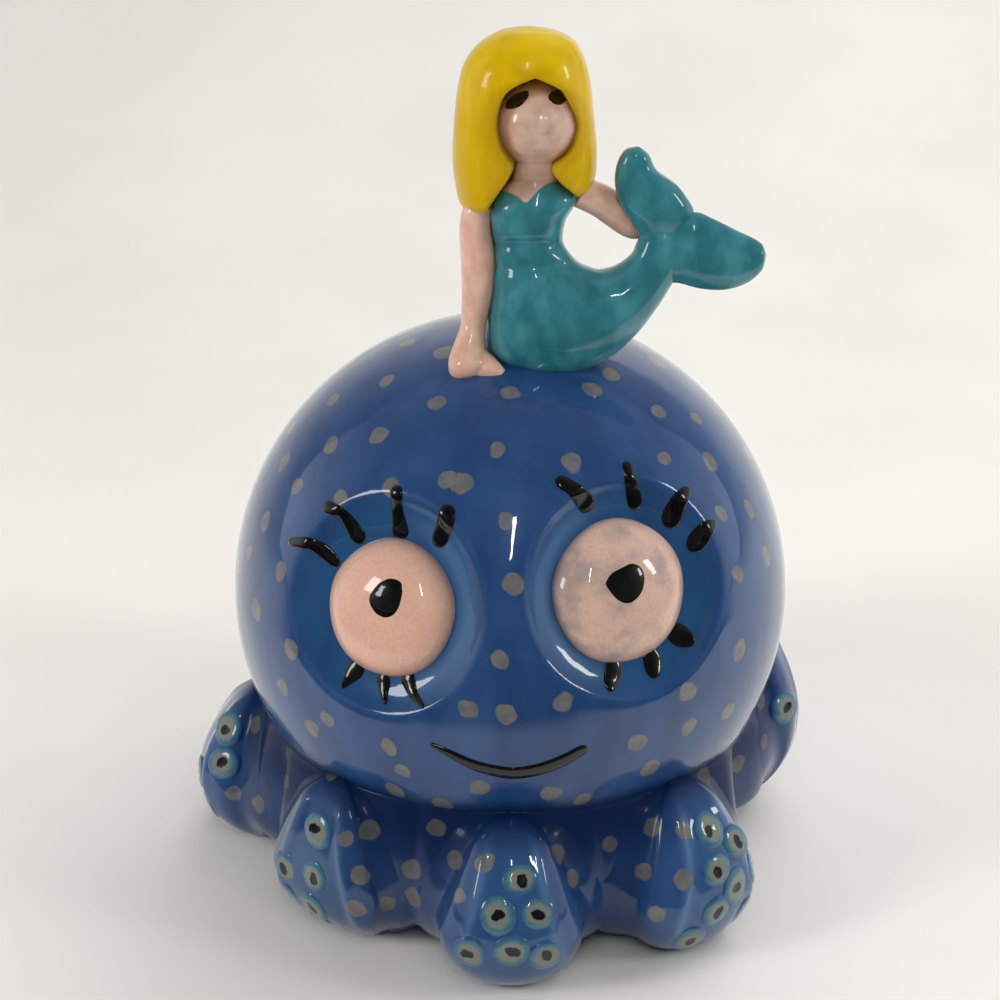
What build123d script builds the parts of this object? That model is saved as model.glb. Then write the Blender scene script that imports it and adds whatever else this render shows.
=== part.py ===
from build123d import *
from math import cos, pi, radians, sin, sqrt
import os

# Glazed ceramic octopus figurine with a small mermaid seated on its head.
# Millimetres, +Z up.  The origin is on the table under the middle, and the face looks along -Y.
# Azimuths are degrees from the front, growing towards +X.  Left and right are as seen from the front.

# Head: a hollow ball whose open lower rim is let into the base
HEAD_R = 55.0
HEAD_WALL = 5.0
CREASE_DROP = 23.0
RIM_LAP = 8.0

# Base: a ring wall round the foot of the head, with a floor, a foot ring and a vent hole
BASE_H = 32.0
BASE_LIP = 1.6
BASE_TAPER = 4.0
BASE_WALL = 6.0
FOOT_RING_W = 6.0
FOOT_RECESS = 2.0
FLOOR_T = 4.5
VENT_D = 13.0

# Eye sockets, eyeballs and pupils.  An eye is placed across and up from the head's middle, a pupil from its eye
EYE_LEFT = (-23.4, 16.8)
EYE_RIGHT = (20.8, 20.3)
SOCKET_D = 35.0
SOCKET_DEPTH = 2.6
SOCKET_SOFTEN = 3.0
EYE_D = 25.2
EYE_RISE = 6.2
PUPIL_LEFT = (1.6, 2.2)
PUPIL_RIGHT = (-1.1, 1.4)
PUPIL_D = 6.6
PUPIL_RISE = 0.6

# Lashes: angles of the root and the tip about the eye, then gap from the eye's edge and length outwards
UPPER_LEFT_ANGLES = ((152, 163), (122, 138), (85, 97), (58, 68))
UPPER_LEFT_LENGTHS = ((0.6, 11.6), (0.6, 9.6), (0.6, 8.1), (2.4, 6.1))
UPPER_RIGHT_ANGLES = ((104, 110), (70, 74), (41, 41), (18, 21))
UPPER_RIGHT_LENGTHS = ((3.3, 6.6), (2.5, 7.6), (2.2, 8.6), (3.2, 7.7))
LOWER_LEFT_ANGLES = ((-108, -115), (-84, -85), (-62, -62))
LOWER_LEFT_LENGTHS = ((0.8, 4.5), (0.8, 4.2), (0.8, 5.1))
LOWER_RIGHT_ANGLES = ((-108, -106), (-73, -76), (-47, -43))
LOWER_RIGHT_LENGTHS = ((0.8, 4.5), (0.8, 4.0), (0.8, 4.6))
LASH_ROOT_W = 2.8
LASH_TIP_W = 2.0
LASH_RISE = 0.8
# Rings of a lash: share of its length, share of its width there
LASH_ROLL = ((0.0, 0.55), (0.12, 0.9), (0.3, 1.0), (0.7, 1.0), (0.9, 0.9), (1.0, 0.55))

# Smile: a black line in a groove
SMILE_HALF_W = 13.6
SMILE_END_DROP = 7.6
SMILE_MIDDLE_DROP = 12.6
SMILE_W = 1.8
SMILE_SINK = 0.3

# Arms: azimuths in degrees, and how far each belly stands out from the crease
ARM_AZIMUTHS = {
    "front": 0,
    "front_right": 38,
    "right": 106,
    "back_right": 143,
    "back": 180,
    "back_left": 222,
    "left": 270,
    "front_left": 320,
}
ARM_STAND_OUTS = {
    "front": 15.6,
    "front_right": 14.6,
    "right": 15.6,
    "back_right": 14.6,
    "back": 15.6,
    "back_left": 14.6,
    "left": 15.0,
    "front_left": 12.0,
}
ARM_TIP_LIFT = 1.8
ARM_BELLY_Z = 13.0
ARM_W = 28.0
ARM_FOOT_W = 18.0
ARM_FOOT_INSET = 8.0
ARM_ROOT = 14.0
ARM_TIP_W = 8.0
ARM_TIP_OUT = 4.2
ARM_TIP_ROUND = 3.5

# Suckers: height of each row and how far each one sits to the side
SUCKER_ROWS = ((23.0, (0.0,)), (16.6, (-4.2, 4.2)), (9.2, (-7.6, 0.0, 7.6)))
SUCKER_D = 6.6
SUCKER_RISE = 1.3

# Mermaid's seat on the head, and the open loop that the body, arm and tail enclose
MERMAID_X = 4.0
MERMAID_Y = -12.5
LOOP_X = 11.9
LOOP_Z = 21.6
LOOP_R = 6.2

# Mermaid's body: bodice above the waist, then ribs fanned round the loop (direction, thickness, depth)
BODICE_RISE = 7.6
BODICE_W = 14.6
BODICE_DEPTH = 9.6
CHEST_DROP = 4.6
CHEST_W = 15.4
CHEST_DEPTH = 12.6
BODY_RIBS = (
    (180, 12.4, 12.4),
    (202, 15.6, 14.6),
    (225, 21.4, 16.6),
    (248, 21.9, 17.0),
    (270, 17.8, 16.0),
    (288, 14.2, 13.6),
    (305, 11.6, 11.2),
    (325, 9.8, 9.2),
    (342, 8.6, 8.0),
)

# Mermaid's tail fin: direction and length of each lobe
FLUKE_UPPER = (100.0, 20.3)
FLUKE_SIDE = (0.0, 20.6)
FLUKE_W = 13.0
FLUKE_T = 7.0

# Mermaid's head and hair
NECK_W = 7.6
NECK_RISE = 15.2
FACE_X = 0.5
FACE_W = 15.8
FACE_DEPTH = 14.0
FACE_HEIGHT = 19.6
MERMAID_EYE_SIDE = 3.4
MERMAID_EYE_UP = 3.6
MERMAID_EYE_W = 3.6
MERMAID_EYE_RISE = 0.4
FACE_OPENING_W = 13.6
FRINGE_UP = 6.6
HAIR_PARTING = 10.0
HAIR_X = -1.5
HAIR_BACK = 3.0
HAIR_W = 26.0
HAIR_DEPTH = 22.0
HAIR_CROWN = 4.8
HAIR_LENGTH = 30.6
# Rings of the bell of hair: share of its length from below, share of its width
HAIR_BELL = ((0.0, 0.95), (0.35, 1.0), (0.6, 0.97), (0.8, 0.8), (0.92, 0.55), (0.99, 0.22))

# Mermaid's arms: the left hand leans on the head, the right one lies on the back of the tail fin
SHOULDER_DROP = 2.0
SHOULDER_OUT = 1.4
SHOULDER_W = 5.2
ELBOW_BOW = 1.0
ELBOW_W = 4.8
WRIST_RISE = 4.4
WRIST_W = 4.2
PALM_X = -11.4
PALM_Y = -1.4
PALM_LIFT = 1.1
PALM_W = 6.6
FINGERS_X = -7.4
FINGERS_Y = -5.6
FINGERS_LIFT = 0.6
FINGERS_W = 2.8
HAND_UP_FLUKE = 5.2
LIMB_RUN = 0.96


def head_width_at(z, radius):
    """Radius of the level circle at height z of a ball about the head's middle."""
    return sqrt(radius**2 - (z - head_z) ** 2)


def cap_radius(half_width, rise):
    """Radius of the sphere whose cap has this half width and rise."""
    return (half_width**2 + rise**2) / (2 * rise)


def on_head(across, up):
    """Point on the front of the head's ball, across and up from its middle."""
    return Vector(across, -sqrt(HEAD_R**2 - across**2 - up**2), head_z + up)


def outward(place):
    """Unit direction from the head's middle through a place on its front."""
    return (on_head(*place) - Vector(0, 0, head_z)).normalized()


def on_head_top(x, y, lift):
    """Point above the head's ball at x and y."""
    return Vector(x, y, head_z + sqrt(HEAD_R**2 - x**2 - y**2) + lift)


def ball_at(centre, radius):
    """Sphere about a point."""
    return Pos(*centre) * Sphere(radius)


def tapered_rod(points, widths):
    """Round rod through the points, with a ball of the given width at each one and runs a little slimmer."""
    balls = [ball_at(point, width / 2) for point, width in zip(points, widths)]
    runs = []
    for i in range(len(points) - 1):
        run = points[i + 1] - points[i]
        sides = [Plane(origin=points[i + j], z_dir=run) * Circle(LIMB_RUN * widths[i + j] / 2) for j in (0, 1)]
        runs.append(loft(sides, ruled=True))
    return balls[0] + balls[1:] + runs


def oval(half_across, half_deep):
    """Flat oval about the origin, as four quarter arcs that start on the first axis."""
    quarters = []
    for start in (0, 90, 180, 270):
        quarters.append(EllipticalCenterArc((0, 0), half_across, half_deep, start, arc_size=90))
    return make_face(quarters)


def export(piece, node):
    """Write one sub-part, which may be a group of separate solids."""
    group = piece if isinstance(piece, list) else [piece]
    solids = [solid for shape in group for solid in shape.solids()]
    export_step(Compound(solids), f"parts/{node}.step")


# Sizes that follow from the driving dimensions
head_z = BASE_H + CREASE_DROP
rim_z = BASE_H - RIM_LAP
rim_r = head_width_at(rim_z, HEAD_R)
rim_inner_r = head_width_at(rim_z, HEAD_R - HEAD_WALL)
crease_r = head_width_at(BASE_H, HEAD_R)
base_lip_r = crease_r + BASE_LIP
base_foot_r = base_lip_r - BASE_TAPER
floor_z = FOOT_RECESS + FLOOR_T
socket_floor = sqrt(HEAD_R**2 - (SOCKET_D / 2) ** 2) - SOCKET_DEPTH
socket_r = cap_radius(SOCKET_D / 2, SOCKET_DEPTH)
arm_height = BASE_H + ARM_TIP_LIFT
bodice_z = LOOP_Z + BODICE_RISE
face_z = bodice_z + NECK_RISE
eyes = {"left": EYE_LEFT, "right": EYE_RIGHT}


def base_slope_at(z):
    """Outer radius of the base's wall at height z."""
    return base_foot_r + BASE_TAPER * z / BASE_H


def make_base():
    """Turned cup: foot ring, floor with a vent, wall, and a seat shaped to the ball."""
    middle_z = (BASE_H + rim_z) / 2
    seat = ThreePointArc((crease_r, BASE_H), (head_width_at(middle_z, HEAD_R), middle_z), (rim_r, rim_z))
    inside = Polyline(
        (rim_r, rim_z),
        (rim_inner_r, rim_z),
        (base_slope_at(floor_z) - BASE_WALL, floor_z),
        (VENT_D / 2, floor_z),
        (VENT_D / 2, FOOT_RECESS),
        (base_foot_r - FOOT_RING_W, FOOT_RECESS),
        (base_foot_r - FOOT_RING_W, 0),
        (base_foot_r, 0),
        (base_lip_r, BASE_H),
        (crease_r, BASE_H),
    )
    return revolve(Plane.XZ * make_face(seat + inside), Axis.Z)


def make_smile_rod():
    """Round rod whose middle line is a circle's arc on the ball."""
    ends = [on_head(side * SMILE_HALF_W, -SMILE_END_DROP) for side in (-1, 1)]
    line = ThreePointArc(ends[0], on_head(0, -SMILE_MIDDLE_DROP), ends[1])
    rod = sweep(Plane(origin=line @ 0, z_dir=line % 0) * Circle(SMILE_W / 2), path=line)
    return rod + [ball_at(end, SMILE_W / 2) for end in ends]


def make_dish(eye, wall=0.0):
    """Sphere that hollows the socket of an eye, or that socket's back when a wall is added."""
    middle = Vector(0, 0, head_z) + outward(eye) * (socket_floor + socket_r)
    return ball_at(middle, socket_r + wall)


def make_full_head():
    """The ball before it is hollowed, with softened eye sockets."""
    ball = Pos(0, 0, head_z) * Sphere(HEAD_R)
    for eye in eyes.values():
        ball -= make_dish(eye)
    rims = [edge for edge in ball.edges() if abs(edge.length - pi * SOCKET_D) < SOCKET_SOFTEN]
    return fillet(rims, SOCKET_SOFTEN)


def make_head_shell(full_head, smile_rod):
    """Hollow head: the cavity keeps its wall behind the sockets, and the foot is cut off at the rim."""
    cavity = Pos(0, 0, head_z) * Sphere(HEAD_R - HEAD_WALL)
    for eye in eyes.values():
        cavity -= make_dish(eye, HEAD_WALL)
    foot = Pos(0, 0, rim_z) * Cylinder(2 * HEAD_R, 2 * HEAD_R, align=(Align.CENTER, Align.CENTER, Align.MAX))
    return full_head - cavity - foot - smile_rod


def socket_height(distance):
    """Height of the socket's face above the head's middle, beside the eye's axis."""
    dished = socket_floor + socket_r - sqrt(socket_r**2 - distance**2)
    return min(dished, sqrt(HEAD_R**2 - distance**2))


def beside_eye(eye, angle, distance):
    """Point on the head's face at an angle and distance about the middle of an eye."""
    across = Vector(0, 0, 1).cross(outward(eye)).normalized()
    upward = outward(eye).cross(across)
    side = across * cos(radians(angle)) + upward * sin(radians(angle))
    return Vector(0, 0, head_z) + outward(eye) * socket_height(distance) + side * distance


def make_eye(eye, full_head):
    """Domed button that fills the middle of its socket."""
    edge_height = socket_height(EYE_D / 2) - socket_floor
    dome_r = cap_radius(EYE_D / 2, EYE_RISE - edge_height)
    middle = Vector(0, 0, head_z) + outward(eye) * (socket_floor + EYE_RISE - dome_r)
    return middle, dome_r, ball_at(middle, dome_r) - full_head


def make_pupil(eye_middle, dome_r, aim, full_head):
    """Low raised spot of enamel on the eyeball."""
    on_axis = on_head(*aim) - eye_middle
    edge_drop = dome_r - sqrt(dome_r**2 - (PUPIL_D / 2) ** 2)
    spot_r = cap_radius(PUPIL_D / 2, PUPIL_RISE + edge_drop)
    top = eye_middle + on_axis.normalized() * (dome_r + PUPIL_RISE)
    return ball_at(top - on_axis.normalized() * spot_r, spot_r) - ball_at(eye_middle, dome_r) - full_head


def make_lash(eye, root_angle, tip_angle, gap, length):
    """Brush stroke: a tapered roll with blunt ends, sunk in the head so that it rises a little."""
    root = EYE_D / 2 + gap
    turn = tip_angle - root_angle
    along = beside_eye(eye, tip_angle, root + length) - beside_eye(eye, root_angle, root)
    circles = []
    for share, fullness in LASH_ROLL:
        radius = (LASH_ROOT_W + (LASH_TIP_W - LASH_ROOT_W) * share) / 2
        place = beside_eye(eye, root_angle + turn * share, root + length * share)
        sunk = place + outward(eye) * (LASH_RISE - radius)
        circles.append(Plane(origin=sunk, z_dir=along) * Circle(radius * fullness))
    return loft(circles)


def make_lashes(eye, angles, lengths, eyeball, full_head):
    """Raised strokes round an eye."""
    strokes = [make_lash(eye, *turns, *sizes) for turns, sizes in zip(angles, lengths)]
    return [stroke - full_head - eyeball for stroke in strokes]


def arm_section(z, reach):
    """Middle, radial half length and half width of an arm's oval at height z."""
    tip_reach = crease_r + ARM_TIP_OUT
    if z < ARM_BELLY_Z:
        drop = 1 - z / ARM_BELLY_Z
        outer = reach - ARM_FOOT_INSET * drop**2
        half_width = (ARM_W - (ARM_W - ARM_FOOT_W) * drop**2) / 2
    else:
        climb = (z - ARM_BELLY_Z) / (arm_height - ARM_BELLY_Z)
        outer = reach - (reach - tip_reach) * climb**1.5
        half_width = (ARM_W - (ARM_W - ARM_TIP_W) * climb**1.15) / 2
    inner = crease_r - ARM_ROOT + (ARM_ROOT + ARM_TIP_OUT - ARM_TIP_W) * (z / arm_height) ** 2
    near_tip = max(0.0, (z - arm_height + ARM_TIP_ROUND) / ARM_TIP_ROUND)
    rounding = sqrt(1 - 0.9 * near_tip**2)
    return (outer + inner) / 2, (outer - inner) / 2 * rounding, half_width * rounding


def make_lobe_of_arm(reach):
    """Lobe along +X: wide belly, narrow foot, tip curled up against the head."""
    low = [ARM_BELLY_Z * share for share in (0.0, 0.4, 1.0)]
    shaft = arm_height - ARM_TIP_ROUND - ARM_BELLY_Z
    high = [ARM_BELLY_Z + shaft * share for share in (0.35, 0.7, 1.0)]
    crown = [arm_height - ARM_TIP_ROUND * share for share in (0.4, 0.0)]
    ovals = []
    for z in low + high + crown:
        middle, half_length, half_width = arm_section(z, reach)
        ovals.append(Pos(middle, 0, z) * oval(half_length, half_width))
    return loft(ovals)


def make_suckers(reach):
    """Balls sunk in the outer face of an arm along +X, in rows that widen downwards."""
    sucker_r = cap_radius(SUCKER_D / 2, SUCKER_RISE)
    buttons = []
    for z, places in SUCKER_ROWS:
        middle, half_length, half_width = arm_section(z, reach)
        for side in places:
            front = sqrt(1 - (side / half_width) ** 2)
            normal = Vector(front / half_length, side / half_width**2, 0).normalized()
            face = Vector(middle + half_length * front, side, z)
            buttons.append(ball_at(face + normal * (SUCKER_RISE - sucker_r), sucker_r))
    return buttons


def make_arm(reach):
    """Arm along +X seated on the base and the head, and the suckers seated on it."""
    base_core = Cone(base_foot_r, base_lip_r, BASE_H, align=(Align.CENTER, Align.CENTER, Align.MIN))
    lobe = make_lobe_of_arm(reach)
    arm = lobe - base_core - Pos(0, 0, head_z) * Sphere(HEAD_R)
    return arm, [button - lobe for button in make_suckers(reach)]


def mermaid_point(x, z, y=0.0):
    """Point given beside, above and behind the mermaid's seat."""
    return on_head_top(MERMAID_X, MERMAID_Y, 0) + Vector(x, y, z)


def ray(angle):
    """Unit direction in the mermaid's upright plane, from +X towards +Z."""
    return Vector(cos(radians(angle)), 0, sin(radians(angle)))


def round_loop(angle, thickness):
    """Middle of a rib of the body that lies round the loop."""
    return mermaid_point(LOOP_X, LOOP_Z) + ray(angle) * (LOOP_R + thickness / 2)


def rib(middle, across, along, width, depth):
    """Oval section of the mermaid, square to along: width runs along across, depth along Y."""
    return Plane(origin=middle, x_dir=across, z_dir=along) * oval(width / 2, depth / 2)


def make_mermaid_body():
    """One roll of clay: bodice and waist go straight down, then hips and tail bend round the loop."""
    right = ray(0)
    down = ray(-90)
    ribs = [
        rib(mermaid_point(0, bodice_z), right, down, BODICE_W, BODICE_DEPTH),
        rib(mermaid_point(0, bodice_z - CHEST_DROP), right, down, CHEST_W, CHEST_DEPTH),
    ]
    for angle, thickness, depth in BODY_RIBS:
        ribs.append(rib(round_loop(angle, thickness), ray(angle) * -1, ray(angle + 90), thickness, depth))
    return loft(ribs)


def make_lobe(root, angle, length):
    """Leaf of the tail fin: broad near the root, thick in the middle, round at the tip."""
    leaves = []
    for share in (0.0, 0.2, 0.42, 0.65, 0.85, 0.99):
        swell = sqrt(sin(pi * (0.2 + 0.8 * share)))
        middle = root + ray(angle) * length * share
        leaves.append(rib(middle, ray(angle - 90), ray(angle), FLUKE_W * swell, FLUKE_T * swell))
    return loft(leaves)


def make_mermaid_head():
    """Egg-shaped head on a round neck."""
    egg = scale(Sphere(0.5), by=(FACE_W, FACE_DEPTH, FACE_HEIGHT))
    neck = Cylinder(NECK_W / 2, NECK_RISE + CHEST_DROP, align=(Align.CENTER, Align.CENTER, Align.MAX))
    return Pos(*mermaid_point(FACE_X, face_z)) * (egg + neck)


def make_mermaid_hair():
    """Smooth bell of hair, open in front of the face and the neck."""
    hair_end = face_z + FACE_HEIGHT / 2 + HAIR_CROWN - HAIR_LENGTH
    ovals = []
    for share, swell in HAIR_BELL:
        middle = mermaid_point(HAIR_X, hair_end + HAIR_LENGTH * share, HAIR_BACK)
        ovals.append(Pos(*middle) * oval(HAIR_W / 2 * swell, HAIR_DEPTH / 2 * swell))
    parting = Rectangle(HAIR_PARTING, HAIR_LENGTH, align=(Align.CENTER, Align.MAX))
    opening = Plane.XZ * (Ellipse(FACE_OPENING_W / 2, FRINGE_UP) + parting)
    return loft(ovals) - Pos(*mermaid_point(FACE_X, face_z)) * extrude(opening, HAIR_DEPTH)


def make_mermaid_eyes(head):
    """Two low spots of enamel on the face."""
    spot_r = cap_radius(MERMAID_EYE_W / 2, MERMAID_EYE_RISE)
    half = Vector(FACE_W / 2, FACE_DEPTH / 2, FACE_HEIGHT / 2)
    spots = []
    for x in (-MERMAID_EYE_SIDE, MERMAID_EYE_SIDE):
        y = -half.Y * sqrt(1 - (x / half.X) ** 2 - (MERMAID_EYE_UP / half.Z) ** 2)
        normal = Vector(x / half.X**2, y / half.Y**2, MERMAID_EYE_UP / half.Z**2).normalized()
        place = mermaid_point(FACE_X + x, face_z + MERMAID_EYE_UP, y)
        spots.append(ball_at(place + normal * (MERMAID_EYE_RISE - spot_r), spot_r) - head)
    return spots


def make_left_arm():
    """Arm that props the mermaid up: shoulder, bowed elbow, wrist, palm and fingers on the head."""
    shoulder = mermaid_point(-BODICE_W / 2 - SHOULDER_OUT, bodice_z - SHOULDER_DROP)
    palm = on_head_top(MERMAID_X + PALM_X, MERMAID_Y + PALM_Y, PALM_LIFT)
    fingers = on_head_top(MERMAID_X + FINGERS_X, MERMAID_Y + FINGERS_Y, FINGERS_LIFT)
    wrist = palm + Vector(0, 0, WRIST_RISE)
    elbow = (shoulder + wrist) / 2 - Vector(ELBOW_BOW, 0, 0)
    points = (shoulder, elbow, wrist, palm, fingers)
    return tapered_rod(points, (SHOULDER_W, ELBOW_W, WRIST_W, PALM_W, FINGERS_W))


def make_right_arm(fluke_root):
    """Straight arm from the shoulder to the back of the fin's upper lobe."""
    shoulder = mermaid_point(BODICE_W / 2 + SHOULDER_OUT, bodice_z - SHOULDER_DROP)
    hand = fluke_root + ray(FLUKE_UPPER[0]) * HAND_UP_FLUKE + Vector(0, (FLUKE_T + WRIST_W) / 2, 0)
    return tapered_rod((shoulder, hand), (SHOULDER_W, WRIST_W))


def make_mermaid():
    """All pieces of the mermaid, each cut to seat on the head and on the ones made before it."""
    ball = Pos(0, 0, head_z) * Sphere(HEAD_R)
    fluke_root = round_loop(*BODY_RIBS[-1][:2])
    body = make_mermaid_body() - ball
    fluke = make_lobe(fluke_root, *FLUKE_UPPER) + make_lobe(fluke_root, *FLUKE_SIDE) - body
    head = make_mermaid_head() - body
    left_arm = make_left_arm() - ball - body - head
    right_arm = make_right_arm(fluke_root) - body - fluke - head
    eye_spots = make_mermaid_eyes(head)
    hair = make_mermaid_hair() - body - head - left_arm - right_arm - eye_spots
    return {
        "mermaid_body": body,
        "mermaid_fluke": fluke,
        "mermaid_head": head,
        "mermaid_hair": hair,
        "mermaid_arm_left": left_arm,
        "mermaid_arm_right": right_arm,
        "mermaid_eyes": eye_spots,
    }


def make_features(full_head):
    """Eyeballs, pupils and lashes."""
    looks = {"left": PUPIL_LEFT, "right": PUPIL_RIGHT}
    upper = {
        "left": (UPPER_LEFT_ANGLES, UPPER_LEFT_LENGTHS),
        "right": (UPPER_RIGHT_ANGLES, UPPER_RIGHT_LENGTHS),
    }
    lower = {
        "left": (LOWER_LEFT_ANGLES, LOWER_LEFT_LENGTHS),
        "right": (LOWER_RIGHT_ANGLES, LOWER_RIGHT_LENGTHS),
    }
    pieces = {}
    for side, eye in eyes.items():
        middle, dome_r, eyeball = make_eye(eye, full_head)
        aim = (eye[0] + looks[side][0], eye[1] + looks[side][1])
        pieces[f"eye_{side}"] = eyeball
        pieces[f"pupil_{side}"] = make_pupil(middle, dome_r, aim, full_head)
        pieces[f"upper_lashes_{side}"] = make_lashes(eye, *upper[side], eyeball, full_head)
        pieces[f"lower_lashes_{side}"] = make_lashes(eye, *lower[side], eyeball, full_head)
    return pieces


def make_arms():
    """All arms, turned from +X to their azimuths; arms that stand out alike share one shape."""
    shapes = {}
    pieces = {}
    for name, azimuth in ARM_AZIMUTHS.items():
        stand_out = ARM_STAND_OUTS[name]
        if stand_out not in shapes:
            shapes[stand_out] = make_arm(crease_r + stand_out)
        arm, suckers = shapes[stand_out]
        turn = Rot(0, 0, azimuth - 90)
        pieces[f"arm_{name}"] = turn * arm
        pieces[f"suckers_{name}"] = [turn * button for button in suckers]
    return pieces


full_head = make_full_head()
smile_rod = make_smile_rod()
pieces = {
    "head_shell": make_head_shell(full_head, smile_rod),
    "base_collar": make_base(),
    "smile_line": smile_rod & Pos(0, 0, head_z) * Sphere(HEAD_R - SMILE_SINK),
}
pieces |= make_arms()
pieces |= make_features(full_head)
pieces |= make_mermaid()

os.makedirs("parts", exist_ok=True)
for node, solid in pieces.items():
    export(solid, node)
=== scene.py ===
from collections import namedtuple

import bpy
import numpy as np
from mathutils import Euler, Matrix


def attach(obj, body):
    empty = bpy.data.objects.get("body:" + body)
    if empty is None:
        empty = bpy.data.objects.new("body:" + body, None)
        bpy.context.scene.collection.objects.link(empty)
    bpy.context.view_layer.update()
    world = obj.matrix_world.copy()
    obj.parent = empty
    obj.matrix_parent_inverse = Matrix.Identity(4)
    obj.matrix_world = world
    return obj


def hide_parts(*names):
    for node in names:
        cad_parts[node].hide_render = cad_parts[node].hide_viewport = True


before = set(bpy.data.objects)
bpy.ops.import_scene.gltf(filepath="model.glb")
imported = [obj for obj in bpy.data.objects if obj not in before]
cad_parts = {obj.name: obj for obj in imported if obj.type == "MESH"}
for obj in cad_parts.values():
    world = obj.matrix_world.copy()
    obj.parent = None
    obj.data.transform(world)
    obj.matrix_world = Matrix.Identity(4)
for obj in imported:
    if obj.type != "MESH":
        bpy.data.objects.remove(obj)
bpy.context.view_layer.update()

# Everything is worked out in millimetres in the part's own frame: +Z up, the face towards -Y.
MM = 0.001
PER_METRE = 1000.0
SEED = 11
UP = np.array([0.0, 0.0, 1.0])
BACKWARDS = np.array([0.0, 1.0, 0.0])

# Distances that put a point out of the running, in mm and in pixels
FAR = 99.0
NEVER_PX = 999

# Camera, and its pixels in a picture of 1000 by 1000
CAMERA = np.array([-2.0, -366.1, 225.7])
CAMERA_DOWN = np.radians(22.62)
FOCAL_PX = 2000.0
MIDDLE_PX = 500.0
SENSOR = 36.0

# Head, base and arms, as in the CAD source
HEAD_R = 55.0
HEAD_WALL = 5.0
HEAD_MIDDLE = np.array([0.0, 0.0, 55.0])
RIM_Z = 24.0
CREASE_R = 49.96

look_along = np.array([0.0, np.cos(CAMERA_DOWN), -np.sin(CAMERA_DOWN)])
look_up = np.array([0.0, np.sin(CAMERA_DOWN), np.cos(CAMERA_DOWN)])
look_right = np.array([1.0, 0.0, 0.0])


def unit(vectors):
    """Vectors brought to length one."""
    return vectors / np.linalg.norm(vectors, axis=-1, keepdims=True)


def ease(low, high, x):
    """Smooth step from 0 at low to 1 at high."""
    t = np.clip((x - low) / (high - low), 0, 1)
    return t * t * (3 - 2 * t)


def softer_min(a, b, k):
    """Lower of two heights, rounded over a band of width k."""
    return (a + b - np.sqrt((a - b) ** 2 + k * k)) / 2


def through(knots, values, t):
    """Smooth curve through values at rising knots: cubics between neighbours, with slopes from both sides."""
    knots = np.asarray(knots, float)
    values = np.asarray(values, float)
    slopes = np.gradient(values, knots, axis=0)
    i = np.clip(np.searchsorted(knots, t, side="right") - 1, 0, len(knots) - 2)
    span = knots[i + 1] - knots[i]
    s = (t - knots[i]) / span
    shape = (-1,) + (1,) * (values.ndim - 1)
    s, span = s.reshape(shape), span.reshape(shape)
    start = (1 + 2 * s) * (1 - s) ** 2 * values[i] + s * (1 - s) ** 2 * span * slopes[i]
    end = s * s * (3 - 2 * s) * values[i + 1] + s * s * (s - 1) * span * slopes[i + 1]
    return start + end


def through_grid(knots, values, grid):
    """The same curve's values on a grid of numbers, held at its ends."""
    inside = np.clip(grid, knots[0], knots[-1])
    return through(knots, values, inside.ravel()).reshape(grid.shape)


def even(count):
    """Shares from 0 to 1."""
    return np.linspace(0, 1, count)


def turns(count):
    """Angles once round, without the last one."""
    return np.arange(count) * 2 * np.pi / count


def rounded(share, least):
    """Half width of a round end at a share of its length: a quarter circle, its square at least the least."""
    return np.sqrt(np.clip(1 - (1 - np.clip(share, 0, 1)) ** 2, least, 1))


def about_axis(radius, azimuth, up):
    """Points round the upright axis at a radius, an azimuth from -Y towards +X in radians, and a height."""
    return np.stack(np.broadcast_arrays(radius * np.sin(azimuth), -radius * np.cos(azimuth), up), -1)


def dab_rows(outline, around, rows, least, spread=1.0):
    """Rows that shrink a dab's outline towards its middle, and the share of the outline left in each row.
    The outline is a smooth closed curve through its points, whose list is carried past both its ends."""
    corners = len(outline)
    knots = np.arange(corners + 5) / corners - 2 / corners
    closed = through(knots, outline[np.arange(-2, corners + 3) % corners], even(around + 1)[:-1])
    middle = closed.mean(0)
    share = np.maximum(np.sin(even(rows) * np.pi / 2), least)
    return middle + spread * share[:, None, None] * (closed - middle), share


def sight(pixels):
    """Directions of the camera's rays through pixels."""
    offset = (np.asarray(pixels, float) - MIDDLE_PX) / FOCAL_PX
    return look_along + offset[..., :1] * look_right - offset[..., 1:] * look_up


def project(points):
    """Pixels at which points are seen."""
    away = points - CAMERA
    scale = FOCAL_PX / (away @ look_along)
    return MIDDLE_PX + np.stack([(away @ look_right) * scale, -(away @ look_up) * scale], -1)


def on_upright(pixels, y):
    """Points seen at pixels on upright planes at the given y."""
    rays = sight(pixels)
    return CAMERA + rays * ((y - CAMERA[1]) / rays[..., 1])[..., None]


# Meshes

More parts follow.
